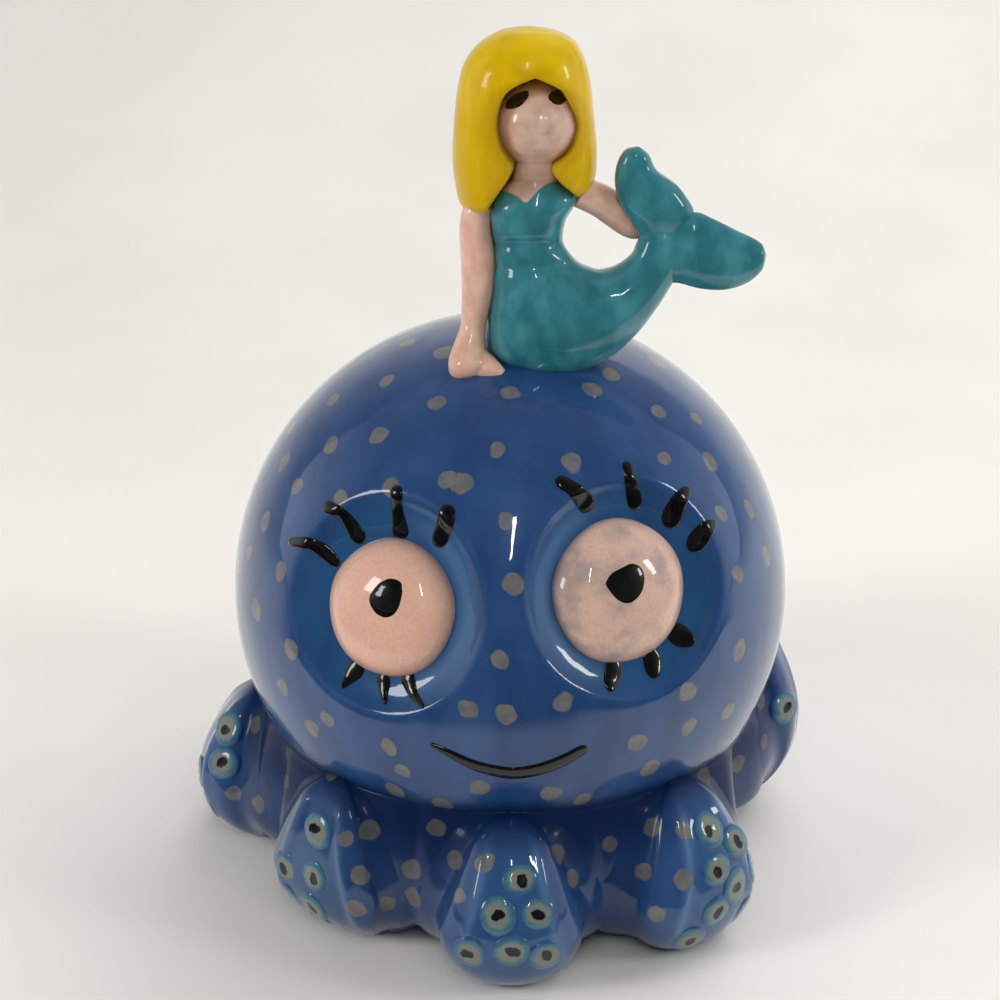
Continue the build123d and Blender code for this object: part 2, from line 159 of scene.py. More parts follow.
def lump(grid, hoop=False, **fields):
    """Closed skin over a grid of points.  Each row goes once round; a middle point closes the first and the
    last row, or the rows themselves run round and close as a hoop.  Fields are values on the same grid."""
    n, m = grid.shape[:2]
    points = grid.reshape(-1, 3)
    at = np.arange(n * m).reshape(n, m)
    along = np.concatenate([at, at[:1]]) if hoop else at
    beside = np.roll(along, -1, 1)
    quads = np.stack([along[:-1], beside[:-1], beside[1:], along[1:]], -1).reshape(-1, 4)
    tris = np.zeros((0, 3), int)
    if not hoop:
        points = np.concatenate([points, grid[[0, -1]].mean(1)])
        first = np.stack([beside[0], at[0], np.full(m, n * m)], -1)
        last = np.stack([at[-1], beside[-1], np.full(m, n * m + 1)], -1)
        tris = np.concatenate([first, last])
        ends = {k: v[[0, -1]].mean(1) for k, v in fields.items()}
        fields = {k: np.concatenate([v.reshape(n * m, *v.shape[2:]), ends[k]]) for k, v in fields.items()}
    else:
        fields = {k: v.reshape(n * m, *v.shape[2:]) for k, v in fields.items()}
    fans = np.concatenate([quads[:, [0, 1, 2]], quads[:, [0, 2, 3]], tris])
    a, b, c = [points[fans[:, k]] - points.mean(0) for k in range(3)]
    if np.einsum("ij,ij->", a, np.cross(b, c)) < 0:
        quads = quads[:, ::-1]
        tris = tris[:, ::-1]
    return points, quads, tris, fields


def make(node, lumps, material):
    """One object that stands for a CAD node, made of one or more lumps."""
    starts = np.cumsum([0] + [len(part[0]) for part in lumps])
    points = np.concatenate([part[0] for part in lumps]) * MM
    quads = np.concatenate([part[1] + start for part, start in zip(lumps, starts)])
    tris = np.concatenate([part[2] + start for part, start in zip(lumps, starts)])
    mesh = bpy.data.meshes.new(node + "_glazed")
    mesh.from_pydata(points.tolist(), [], quads.tolist() + tris.tolist())
    mesh.shade_smooth()
    for key in lumps[0][3]:
        values = np.concatenate([part[3][key] for part in lumps]).astype(np.float32)
        kind, member = ("FLOAT_VECTOR", "vector") if values.ndim == 2 else ("FLOAT", "value")
        mesh.attributes.new(key, kind, "POINT").data.foreach_set(member, values.ravel())
    mesh.materials.append(material)
    piece = bpy.data.objects.new(node + "_glazed", mesh)
    bpy.context.scene.collection.objects.link(piece)
    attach(piece, "root")
    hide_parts(node)
    return piece


def tube(path, half_across, half_deep, across, around=28):
    """Roll along a path: at each row an oval, half_across along the direction across and half_deep along the
    third direction, square to both the path and across."""
    along = unit(np.gradient(path, axis=0))
    across = unit(across - (across * along).sum(-1, keepdims=True) * along)
    deep = np.cross(along, across)
    angle = turns(around)
    side = half_across[:, None, None] * np.cos(angle)[None, :, None] * across[:, None, :]
    front = half_deep[:, None, None] * np.sin(angle)[None, :, None] * deep[:, None, :]
    return path[:, None, :] + side + front


# Painted dots: their half sizes, and the distance given to points far from all of them
DOT_HALF = (1.6, 2.1)
DOT_FAR = 9.0


def dot_fields(points, places, rng):
    """For each point the nearest dot's middle and half size, and the distance outside that dot, in mm."""
    flat = points.reshape(-1, 3)
    halves = rng.uniform(*DOT_HALF, len(places))
    nearest = np.full(len(flat), DOT_FAR)
    chosen = np.zeros(len(flat), int)
    for number, place in enumerate(places):
        outside = np.linalg.norm(flat - place, axis=1) - halves[number]
        chosen = np.where(outside < nearest, number, chosen)
        nearest = np.minimum(outside, nearest)
    shape = points.shape[:2]
    return {
        "dots": nearest.reshape(shape),
        "dot_at": (np.asarray(places)[chosen] * MM).reshape(*shape, 3),
        "dot_half": halves[chosen].reshape(shape),
    }


# Dots read off the photo, in pixels
HEAD_DOTS = np.array([
    (407, 343), (445, 352), (387, 381), (332, 400), (436, 403), (510, 393), (350, 362), (306, 392),
    (379, 436), (331, 444), (499, 450), (284, 462), (290, 429), (296, 487), (448, 479), (462, 484),
    (391, 487), (265, 522), (507, 522), (249, 552), (280, 571), (514, 585), (256, 610), (292, 650),
    (501, 660), (283, 688), (467, 709), (507, 714), (327, 719), (340, 498), (592, 390), (611, 375),
    (657, 362), (659, 412), (696, 418), (573, 462), (663, 458), (710, 461), (748, 453), (749, 508),
    (774, 506), (721, 514), (738, 573), (767, 556), (739, 650), (688, 692), (563, 702), (728, 711),
    (689, 728), (637, 743), (651, 768), (388, 747), (403, 771), (479, 788), (550, 793), (583, 799),
    (396, 791), (442, 805), (312, 728),
], float)
ARM_DOTS = np.array([
    (256, 725), (286, 751), (285, 781), (258, 805), (335, 770), (235, 794), (345, 838), (369, 829),
    (361, 875), (355, 909), (386, 904), (413, 870), (439, 830), (455, 859), (459, 897), (484, 863),
    (413, 898), (610, 844), (642, 870), (653, 828), (685, 831), (656, 914), (682, 880), (557, 853),
    (573, 879), (760, 698), (764, 743), (740, 764), (725, 734), (704, 776),
], float)

# Eyes, and the thumbed hollows round them
EYES = {"left": (386, 609), "right": (623.5, 591)}
EYE_HALF = {"left": 12.9, "right": 13.3}
EYE_EDGE = 51.0
HOLLOWS = {"left": (376, 607), "right": (635, 590)}
HOLLOW_HALF = 19.6
HOLLOW_FLOOR = 48.9
HOLLOW_SOFT = 1.0
EYE_TOP = 55.3
EYE_FOOT = 47.2


def ball_hit(pixels, radius=HEAD_R):
    """Directions from the head's middle to where the camera's rays meet a ball about it or pass nearest."""
    rays = unit(sight(pixels))
    out = CAMERA - HEAD_MIDDLE
    half = rays @ out
    depth = -half - np.sqrt(np.maximum(half * half - (out @ out - radius**2), 0))
    return unit(out + rays * depth[..., None])


hollow_axes = [ball_hit(np.array(HOLLOWS[side], float)) for side in ("left", "right")]

# Smile, in pixels, with its half width in mm, and its groove's depth and half width
SMILE_PATH = np.array([
    (433, 745), (447, 752), (471, 764), (496, 771), (516, 773), (540, 769), (564, 760), (585, 748),
], float)
SMILE_HALF = np.array([0.35, 0.7, 1.0, 1.15, 1.2, 1.2, 1.15, 0.95])
SMILE_GROOVE = 0.55
GROOVE_HALF = 1.3
smile_way = through(even(len(SMILE_PATH)), SMILE_PATH, even(60))
smile_line = HEAD_MIDDLE + HEAD_R * ball_hit(smile_way)


def head_skin(directions, wall=0.0):
    """Head's face in each direction from its middle: the ball, lowered along the axis of each hollow to a
    floor that turns up with the seventh power of the distance, and pressed in along the smile."""
    points = directions * (HEAD_R - wall)
    rim = np.sqrt(HEAD_R**2 - HOLLOW_HALF**2)
    for axis in hollow_axes:
        height = points @ axis
        beside = np.linalg.norm(points - height[..., None] * axis, axis=-1)
        floor = HOLLOW_FLOOR + (rim - HOLLOW_FLOOR) * (beside / HOLLOW_HALF) ** 7 - wall
        lowered = softer_min(height, floor, HOLLOW_SOFT)
        pressed = (height > 0) & (beside < 2 * HOLLOW_HALF)
        points = points + np.where(pressed, lowered - height, 0)[..., None] * axis
    if wall == 0:
        front = (directions[..., 2] < 0) & (directions[..., 1] < -0.6)
        gap = np.full(front.shape, FAR)
        near = points[front][:, None, :] - smile_line[None, :, :]
        gap[front] = np.linalg.norm(near, axis=-1).min(1)
        points = points - (SMILE_GROOVE * np.exp(-((gap / GROOVE_HALF) ** 2)))[..., None] * directions
    return points + HEAD_MIDDLE


def land_on_head(pixels):
    """Directions whose point on the head's face is seen at the pixels, found by correcting a few times."""
    pixels = np.asarray(pixels, float)
    guess = pixels.copy()
    for _ in range(5):
        guess = guess + pixels - project(head_skin(ball_hit(guess)))
    return ball_hit(guess)


def outward_at(directions, step=0.004):
    """Outward direction of the head's face, from its slopes to both sides."""
    side = unit(np.cross(UP, directions))
    rise = np.cross(directions, side)
    one = head_skin(unit(directions + step * side)) - head_skin(unit(directions - step * side))
    two = head_skin(unit(directions + step * rise)) - head_skin(unit(directions - step * rise))
    return unit(np.cross(one, two))


# Glazes

def colour(red, green, blue):
    """Linear colour of an sRGB one given from 0 to 255."""
    c = np.array([red, green, blue]) / 255
    linear = np.where(c <= 0.04045, c / 12.92, ((c + 0.055) / 1.055) ** 2.4)
    return (*[float(v) for v in linear], 1.0)


# Colours.  Where there are two, the glaze wavers between them.
BLUE = colour(33, 66, 115), colour(46, 81, 132)
BLUE_CLOUD = colour(25, 58, 104)
BLUE_TEAL = colour(30, 84, 128)
# Paler blue of thin glaze, also used as painted sheen on the ridges and the hollows' rims
BLUE_THIN_AND_SHEEN = colour(98, 132, 172)
# Deep blue of pooled glaze, also used as painted shade under the head and along the crease
BLUE_POOL_AND_SHADE = colour(8, 28, 66)
DOT_GREY = colour(99, 101, 102), colour(119, 114, 109)
# Dot grey darkened in the pooled glaze and painted shade
DOT_IN_POOL_AND_SHADE = colour(50, 49, 54)
PEACH_LEFT = colour(228, 182, 160), colour(221, 172, 150)
PEACH_RIGHT = colour(219, 183, 165), colour(211, 172, 154)
EYE_CLOUD = colour(150, 138, 136)
EYE_SPECKLE = colour(186, 128, 112)
EYE_RIM = colour(60, 80, 120)
BLACK = colour(9, 9, 11), colour(26, 25, 26)
SUCKER_RIM = colour(42, 78, 128)
SUCKER_RING = colour(58, 110, 128)
SUCKER_MIDDLE = colour(118, 124, 116)
SUCKER_DAB = colour(10, 11, 14)
TEAL = colour(42, 113, 124), colour(66, 140, 150)
TEAL_CLOUD = colour(32, 97, 110)
CHEST = colour(216, 186, 170), colour(202, 166, 149)
SKIN = colour(233, 192, 171), colour(219, 171, 150)
# Face skin: a darker copy of the skin, painted shade from the hair
SHADED_FACE = colour(216, 184, 166), colour(199, 161, 143)
SKIN_BLOTCH = colour(186, 132, 118)
YELLOW = colour(210, 170, 0), colour(226, 188, 1)
OCHRE = colour(182, 140, 0)
PALE = colour(245, 242, 236), colour(239, 236, 230)
DARK = colour(30, 30, 34), colour(40, 39, 40)
DAYLIGHT = (0.95, 0.97, 1.0, 1.0)

# Share of mirror under the coat; waves per metre, pull and reach, in mm, of a dot's uneven outline
UNDER_COAT = 0.12
DOT_WAVES = 240.0
DOT_PULL = 2.2
DOT_NEAR = 0.35


class Shades:
    """Works out values and colours with the nodes of one shader tree."""

    def __init__(self, tree):
        self.tree = tree
        self.place = self.node("TexCoord")

    def feed(self, socket, value):
        """Give a socket a plain value, or link another node's output to it."""
        if isinstance(value, bpy.types.NodeSocket):
            self.tree.links.new(value, socket)
        else:
            socket.default_value = value

    def node(self, kind, inputs=(), **settings):
        """New node of a kind with its settings, and its inputs fed by name or number."""
        node = self.tree.nodes.new("ShaderNode" + kind)
        for key, value in settings.items():
            setattr(node, key, value)
        for key, value in dict(inputs).items():
            self.feed(node.inputs[key], value)
        return node

    def noise(self, per_mm, detail=3.0, stretch=(1, 1, 1)):
        """Clouds with the given number of waves per mm, stretched along the axes."""
        scale = [per_mm * PER_METRE * s for s in stretch]
        mapping = self.node("Mapping", {"Vector": self.place.outputs["Object"], "Scale": scale})
        clouds = {"Vector": mapping.outputs["Vector"], "Scale": 1.0, "Detail": detail}
        return self.node("TexNoise", clouds).outputs["Fac"]

    def clouds(self, low, high, *pattern):
        """Noise eased from 0 at low to 1 at high."""
        return self.spread(self.noise(*pattern), low, high)

    def field(self, key, output="Fac"):
        """Value carried by the mesh's points."""
        return self.node("Attribute", attribute_name=key).outputs[output]

    def axes(self, kind):
        """X, Y and Z of a kind of coordinates."""
        return self.node("SeparateXYZ", {"Vector": self.place.outputs[kind]}).outputs

    def kind_of_ray(self, kind):
        """One of the light path's switches."""
        return self.node("LightPath").outputs[kind]

    def combine(self, kind, a, b):
        """Two values added, multiplied or compared; b may be a plain number."""
        return self.node("Math", {0: a, 1: b}, operation=kind).outputs["Value"]

    def times(self, a, b):
        """Product of two values."""
        return self.combine("MULTIPLY", a, b)

    def spread(self, value, low, high, to_low=0.0, to_high=1.0):
        """Value eased from one range to another."""
        ends = {"From Min": low, "From Max": high, "To Min": to_low, "To Max": to_high}
        node = self.node("MapRange", {"Value": value, **ends}, interpolation_type="SMOOTHSTEP")
        return node.outputs["Result"]

    def mix(self, share, below, above):
        """Colour above laid over colour below by a share."""
        layers = {"Factor": share, "A": below, "B": above}
        return self.node("Mix", layers, data_type="RGBA").outputs["Result"]

    def dot_edge(self):
        """Distance outside the nearest dot in mm, with its outline pulled out of true by slow noise."""
        place = self.place.outputs["Object"]
        warp = self.node("TexNoise", {"Vector": place, "Scale": DOT_WAVES, "Detail": 1.0})
        pull = {0: warp.outputs["Color"], 1: (DOT_PULL * MM,) * 3, 2: place}
        pulled = self.node("VectorMath", pull, operation="MULTIPLY_ADD")
        shift = {0: self.field("dot_at", "Vector"), 1: (DOT_PULL / 2 * MM,) * 3}
        shifted = self.node("VectorMath", shift, operation="ADD")
        ends = {0: pulled.outputs["Vector"], 1: shifted.outputs["Vector"]}
        apart = self.node("VectorMath", ends, operation="DISTANCE").outputs["Value"]
        fine = self.combine("SUBTRACT", self.times(apart, PER_METRE), self.field("dot_half"))
        return self.combine("MAXIMUM", fine, self.combine("SUBTRACT", self.field("dots"), DOT_NEAR))


class Glaze(Shades):
    """One glazed material: patterns on object coordinates, laid over each other, under a clear coat."""

    def __init__(self, name, roughness=0.3, coat=1.0, coat_roughness=0.03):
        self.material = bpy.data.materials.new(name)
        self.material.use_nodes = True
        super().__init__(self.material.node_tree)
        self.surface = self.tree.nodes["Principled BSDF"]
        self.set("Roughness", roughness)
        self.set("Specular IOR Level", UNDER_COAT)
        self.set("Coat Weight", coat)
        self.set("Coat Roughness", coat_roughness)

    def set(self, socket, value):
        """Give one of the surface's own sockets a value, or link it."""
        self.feed(self.surface.inputs[socket], value)

    def done(self, shade, waves=None, waves_mm=0.0):
        """Finish with the colour and, where there are waves, a faint unevenness of the glaze."""
        self.set("Base Color", shade)
        if waves is not None:
            bump = self.node("Bump", {"Height": waves, "Distance": waves_mm * MM, "Strength": 1.0})
            self.set("Normal", bump.outputs["Normal"])
            self.set("Coat Normal", bump.outputs["Normal"])
        return self.material


def blue_glaze(name):
    """Blue brushed on in uneven strokes, paler where it is thin and where sheen is painted on, deep where it
    pools and where shade is painted in, with grey dots.
    """
    g = Glaze(name)
    shade = g.mix(g.clouds(0.3, 0.72, 0.16, 4, (1, 1, 0.3)), *BLUE)
    shade = g.mix(g.times(g.clouds(0.3, 0.7, 0.06), 0.45), shade, BLUE_CLOUD)
    teal = g.times(g.field("teal"), g.clouds(0.25, 0.65, 0.22, 4, (1, 1, 0.4)))
    shade = g.mix(g.times(teal, 0.75), shade, BLUE_TEAL)
    # Paler where the glaze is thin and where sheen is painted on the ridges and hollow rims
    shade = g.mix(g.field("thin"), shade, BLUE_THIN_AND_SHEEN)
    # Deep blue where the glaze pools and where shade is painted in under the head and along the crease
    shade = g.mix(g.field("pool"), shade, BLUE_POOL_AND_SHADE)
    grey = g.mix(g.clouds(0.3, 0.7, 0.5), *DOT_GREY)
    # Dots darkened in the same pooled glaze and painted shade
    grey = g.mix(g.times(g.field("pool"), 0.75), grey, DOT_IN_POOL_AND_SHADE)
    shade = g.mix(g.spread(g.dot_edge(), 0.12, -0.22, 0.0, 0.92), shade, grey)
    # Less coat in the pooled glaze and painted shade, so those parts mirror less
    g.set("Coat Weight", g.spread(g.field("pool"), 0.2, 0.9, 1.0, 0.12))
    waves = g.combine("ADD", g.times(g.noise(0.12, 2), 0.3), g.noise(0.035, 1))
    return g.done(shade, waves, 0.35)


def eye_glaze(name, peach, cloudy):
    """Peach pink, faintly speckled, with grey clouds where the brush left the clay thin."""
    g = Glaze(name)
    shade = g.mix(g.clouds(0.35, 0.7, 1.8), *peach)
    shade = g.mix(g.times(g.clouds(0.42, 0.66, 0.12), cloudy), shade, EYE_CLOUD)
    shade = g.mix(g.times(g.clouds(0.66, 0.74, 2.4, 2), 0.3), shade, EYE_SPECKLE)
    shade = g.mix(g.spread(g.field("rim"), 0.93, 1.02, 0.0, 0.75), shade, EYE_RIM)
    return g.done(shade, g.noise(0.15, 2), 0.06)


def black_enamel(name):
    """Thick glossy black, a little browner where it is thin."""
    g = Glaze(name, roughness=0.25, coat_roughness=0.04)
    shade = g.mix(g.clouds(0.55, 0.8, 0.8), *BLACK)
    return g.done(shade, g.noise(0.35, 2), 0.08)


def sucker_glaze(name):
    """Blue rim, teal ring, tan grey middle and an off-centre dab of black, by distance from the middle."""
    g = Glaze(name)
    ring = g.combine("ADD", g.field("ring"), g.spread(g.noise(0.7), 0.2, 0.8, -0.08, 0.08))
    shade = g.mix(g.spread(ring, 1.04, 0.78), SUCKER_RIM, SUCKER_RING)
    shade = g.mix(g.spread(ring, 0.8, 0.56), shade, SUCKER_MIDDLE)
    dab = g.combine("ADD", g.field("dab"), g.spread(g.noise(0.7, 1), 0.2, 0.8, -0.22, 0.22))
    shade = g.mix(g.spread(dab, 0.12, -0.12), shade, SUCKER_DAB)
    return g.done(shade, g.noise(0.3, 2), 0.06)


def tail_glaze(name):
    """Teal with darker brush marks, and skin colour above the bodice's edge."""
    g = Glaze(name)
    shade = g.mix(g.clouds(0.32, 0.7, 0.28, 4, (1, 1, 0.6)), *TEAL)
    shade = g.mix(g.times(g.clouds(0.4, 0.7, 0.1, 2), 0.5), shade, TEAL_CLOUD)
    chest = g.mix(g.clouds(0.3, 0.7, 0.4), *CHEST)
    shade = g.mix(g.spread(g.field("skin"), -0.15, 0.15), shade, chest)
    return g.done(shade, g.noise(0.2, 2), 0.1)


def skin_glaze(name, tones):
    """Pinkish skin with faint blotches."""
    g = Glaze(name)
    shade = g.mix(g.clouds(0.3, 0.7, 0.35, 4), *tones)
    shade = g.mix(g.times(g.clouds(0.55, 0.75, 0.9), 0.14), shade, SKIN_BLOTCH)
    return g.done(shade, g.noise(0.25, 2), 0.06)


def hair_glaze(name):
    """Yellow, deepening to ochre round the face and towards the bottom."""
    g = Glaze(name, coat=0.45)
    shade = g.mix(g.clouds(0.3, 0.7, 0.2, 3, (1, 1, 0.35)), *YELLOW)
    shade = g.mix(g.times(g.field("deep"), 0.8), shade, OCHRE)
    return g.done(shade, g.noise(0.2, 2), 0.08)


blue = blue_glaze("blue_glaze")
black = black_enamel("black_enamel")
suckers_finish = sucker_glaze("sucker_glaze")
teal_finish = tail_glaze("tail_glaze")
skin_finish = skin_glaze("skin_glaze", SKIN)
# Darker copy of the skin for the face, painted shade under the hair
shaded_face_finish = skin_glaze("skin_glaze_shaded_face", SHADED_FACE)
yellow = hair_glaze("hair_glaze")


# Head: its rows, the points round it, the dots on its back, the mermaid's seat, and the band of thin glaze
# and painted sheen towards the nose in each hollow
HEAD_ROWS = 168
HEAD_INSIDE_ROWS = 24
HEAD_AROUND = 352
SPIRAL_DOTS = 190
SEAT = np.array([6.0, -16.0, 52.0])
THIN_SHEEN_BAND = 0.42
THIN_SHEEN_IN = 4.2
THIN_SHEEN_HALF = 1.9


def web_pool(z):
    """Share of deep glaze and painted shade at height z: gathered on the wall under the head, gone just above
    the crease.
    """
    return (0.45 + 0.5 * ease(14, 29, z)) * ease(38.5, 32.2, z)


def unseen_dots():
    """Spiral of directions over the ball, shaken a little, kept where the photo does not show the head."""
    rng = np.random.default_rng(SEED)
    number = np.arange(SPIRAL_DOTS)
    height = 1 - 2 * (number + 0.5) / SPIRAL_DOTS
    angle = number * np.pi * (3 - np.sqrt(5))
    flat = np.sqrt(1 - height**2)
    spiral = np.stack([flat * np.cos(angle), flat * np.sin(angle), height], -1)
    spiral = unit(spiral + rng.normal(scale=0.05, size=spiral.shape))
    away = spiral @ unit(CAMERA - HEAD_MIDDLE) < 0.08
    beside_seat = spiral @ unit(SEAT) < 0.93
    return spiral[away & beside_seat & (spiral[:, 2] > -0.5)]


def make_head():
    """Hollow head: rows go from the crown down the outside to the rim and back up the inside."""
    low = np.arccos((RIM_Z - HEAD_MIDDLE[2]) / HEAD_R)
    low_inside = np.arccos((RIM_Z - HEAD_MIDDLE[2]) / (HEAD_R - HEAD_WALL))
    outer = np.linspace(0.004, low, HEAD_ROWS)[:, None]
    inner = np.linspace(low_inside, 0.01, HEAD_INSIDE_ROWS)[:, None]
    azimuth = turns(HEAD_AROUND)
    outside = head_skin(about_axis(np.sin(outer), azimuth, np.cos(outer)))
    inside = head_skin(about_axis(np.sin(inner), azimuth, np.cos(inner)), HEAD_WALL)
    points = np.concatenate([outside, inside])
    places = head_skin(np.concatenate([land_on_head(HEAD_DOTS), unseen_dots()]))
    dots = dot_fields(points, places, np.random.default_rng(SEED + 1))
    off = points - HEAD_MIDDLE
    teal = np.zeros(points.shape[:2])
    thin = np.zeros(points.shape[:2])
    for axis in hollow_axes:
        beside = np.linalg.norm(np.cross(off, axis), axis=-1)
        facing = off @ axis > 0
        teal = np.maximum(teal, ease(HOLLOW_HALF + 2, HOLLOW_HALF - 4, beside) * facing)
        to_nose = ease(2, 14, -np.sign(axis[0]) * (off[..., 0] - HEAD_R * axis[0]))
        # Band on each hollow's rim towards the nose: thin glaze and painted sheen
        thin_sheen_band = THIN_SHEEN_BAND * np.exp(-(((beside - HOLLOW_HALF + THIN_SHEEN_IN) / THIN_SHEEN_HALF) ** 2))
        thin = np.maximum(thin, thin_sheen_band * facing * to_nose)
    # Pooled glaze and painted shade on the head's underside just above the crease
    pool = 0.9 * ease(36.5, 31.5, points[..., 2])
    make("head_shell", [lump(points, teal=teal, pool=pool, thin=thin, **dots)], blue)


make_head()


# Eyes and pupils
EYE_ROWS = 46
EYE_AROUND = 120
EYE_POWER = 2.5


def eye_frame(side):
    """Axis of an eye, and the directions across and up its face."""
    axis = ball_hit(np.array(EYES[side], float), EYE_EDGE)
    across = unit(np.cross(UP, axis))
    return axis, across, np.cross(axis, across)


def eye_height(share):
    """Height of an eye above the head's middle: a flattened dome, level on top and steep at its edge."""
    return EYE_FOOT + (EYE_TOP - EYE_FOOT) * (1 - np.minimum(share, 1) ** EYE_POWER) ** 0.5


def make_eye(side, material):
    """Domed eye: rows run from the top outwards to the wavering edge and down into the head."""
    axis, across, up = eye_frame(side)
    share = np.maximum(np.sin(even(EYE_ROWS) * np.pi / 2)[:, None], 0.01)
    angle = turns(EYE_AROUND)
    half = EYE_HALF[side] * (1 + 0.012 * np.sin(2 * angle + 0.6) + 0.008 * np.sin(5 * angle))
    flat = np.cos(angle)[:, None] * across + np.sin(angle)[:, None] * up
    points = HEAD_MIDDLE + (share * half)[..., None] * flat + eye_height(share)[..., None] * axis
    make(f"eye_{side}", [lump(points, rim=share * np.ones_like(angle))], material)


# Pupils: outline in pixels, clockwise from the top
PUPILS = {
    "left": np.array([(391, 578), (401, 582), (403, 592), (400, 606), (394, 615), (385, 618), (376, 614),
                      (370, 605), (369, 597), (375, 587), (382, 581)], float),
    "right": np.array([(632, 563), (641, 567), (645, 577), (643, 590), (636, 600), (627, 604), (617, 600),
                       (609, 591), (605, 583), (611, 574), (621, 568)], float),
}
PUPIL_RISE = 0.5
PUPIL_SINK = 0.25
PUPIL_SPREAD = 1.1


def on_eye(side, pixels):
    """Points of an eye's dome that are seen at pixels, found from a few steps along the camera's rays."""
    axis, across, up = eye_frame(side)
    rays = unit(sight(pixels))
    points = HEAD_MIDDLE + EYE_TOP * axis
    for _ in range(12):
        points = CAMERA + rays * (((points - CAMERA) * rays).sum(-1, keepdims=True))
        off = points - HEAD_MIDDLE
        beside = np.linalg.norm(np.stack([off @ across, off @ up], -1), axis=-1)
        sink = (off @ axis - eye_height(beside / EYE_HALF[side])) / (rays @ axis)
        points = points - 0.8 * sink[..., None] * rays
    return points


def make_pupil(side):
    """Raised spot of enamel: rows shrink its outline towards its middle as a low dome rises off the eye."""
    pixels, share = dab_rows(PUPILS[side], 72, 16, 0.02, PUPIL_SPREAD)
    rise = PUPIL_RISE * np.sqrt(1 - share**2.4) - PUPIL_SINK
    points = on_eye(side, pixels) + rise[:, None, None] * eye_frame(side)[0]
    make(f"pupil_{side}", [lump(points)], black)


make_eye("left", eye_glaze("eye_glaze_left", PEACH_LEFT, 0.1))
make_eye("right", eye_glaze("eye_glaze_right", PEACH_RIGHT, 0.75))
make_pupil("left")
make_pupil("right")


# Lashes and smile: brush strokes given by pixels along each one, with widths in pixels
LASHES = {
    "upper_lashes_left": (
        (((337, 564), (323, 551), (309, 544), (291, 542)), (11, 14, 12, 9)),
        (((361, 541), (351, 525), (340, 513), (325, 506)), (17, 14, 12, 12)),
        (((401, 537), (399, 520), (397, 505), (396, 488)), (21, 14, 11, 14)),
        (((437, 544), (443, 531), (446, 519), (447, 507)), (17, 18, 17, 14)),
    ),
    "lower_lashes_left": (
        (((360, 664), (354, 672), (348, 680), (343, 686)), (17, 17, 11, 4)),
        (((383, 674), (384, 684), (384, 693), (385, 702)), (15, 13, 9, 4)),
        (((407, 675), (410, 685), (414, 695), (422, 706)), (17, 13, 9, 5)),
    ),
    "upper_lashes_right": (
        (((589, 508), (582, 498), (572, 488), (558, 480)), (20, 17, 14, 13)),
        (((636, 507), (633, 493), (630, 478), (627, 464)), (16, 14, 11, 11)),
        (((669, 526), (673, 513), (679, 501), (688, 490)), (18, 20, 16, 10)),
        (((691, 549), (697, 541), (704, 532), (714, 524)), (16, 19, 17, 11)),
    ),
    "lower_lashes_right": (
        (((614, 660), (613, 670), (611, 680), (610, 689)), (15, 18, 15, 10)),
        (((650, 649), (652, 658), (653, 667), (654, 676)), (15, 18, 17, 11)),
        (((669, 628), (676, 633), (684, 638), (692, 642)), (14, 20, 20, 13)),
    ),
}

# Heights of the strokes in mm, mm to a pixel on the head, how much wider they are made, the pixels they
# run on at each end, and the least square of an end's half width
LASH_RISE = 0.38
SMILE_RISE = 0.4
PX_ON_HEAD = 0.176
STROKE_SPREAD = 1.15
STROKE_PAST = 3.0
STROKE_TIP = 0.004


def make_stroke(pixels, widths, rise, rows=40):
    """Brush stroke on the head: a roll along the pixels' curve, round at both ends, half sunk in the face."""
    share = even(rows)
    pixels = np.array(pixels, float)
    pixels[0] += STROKE_PAST * unit(pixels[0] - pixels[1])
    pixels[-1] += STROKE_PAST * unit(pixels[-1] - pixels[-2])
    knots = even(len(pixels))
    way = land_on_head(through(knots, pixels, share))
    half = through(knots, widths, share) * PX_ON_HEAD * STROKE_SPREAD / 2
    length = np.linalg.norm(pixels[-1] - pixels[0]) * PX_ON_HEAD
    full = rounded(share * length / half, STROKE_TIP) * rounded((1 - share) * length / half, STROKE_TIP)
    path = head_skin(way)
    across = np.cross(np.gradient(path, axis=0), outward_at(way))
    return lump(tube(path, half * full, rise * full, across, 24))


for node, strokes in LASHES.items():
    make(node, [make_stroke(pixels, widths, LASH_RISE) for pixels, widths in strokes], black)
smile_widths = 2 * SMILE_HALF / PX_ON_HEAD
make("smile_line", [make_stroke(SMILE_PATH, smile_widths, SMILE_RISE, 90)], black)


# Arms: azimuth in degrees, reach past the crease, top, the belly's height, and how far the foot tucks in
Arm = namedtuple("Arm", "azimuth reach top belly tuck")
ARMS = {
    "front": Arm(0, 16.0, 32.0, 12.0, 8.0),
    "front_right": Arm(38, 15.0, 33.3, 12.5, 8.0),
    "right": Arm(106, 13.0, 43.0, 20.5, 17.0),
    "back_right": Arm(143, 14.0, 34.0, 13.0, 8.0),
    "back": Arm(180, 15.0, 34.0, 13.0, 8.0),
    "back_left": Arm(222, 14.0, 34.0, 13.0, 8.0),
    "left": Arm(270, 15.2, 33.4, 13.5, 9.5),
    "front_left": Arm(320, 9.6, 32.8, 12.5, 10.0),
}
ARM_AZIMUTHS = np.array([arm.azimuth for arm in ARMS.values()])

# Half widths at the belly and the tip, the tip's reach, the share of height where its dome starts, and the
# fillet and skirt along the wall
ARM_BELLY_HALF = 13.4
ARM_TIP_HALF = 4.8
ARM_TIP_REACH = 3.6
ARM_DOME = 0.84
FILLET = 4.4
FILLET_LESS_AT_TIP = 1.4
SKIRT = 1.9
SKIRT_SINK = 0.6

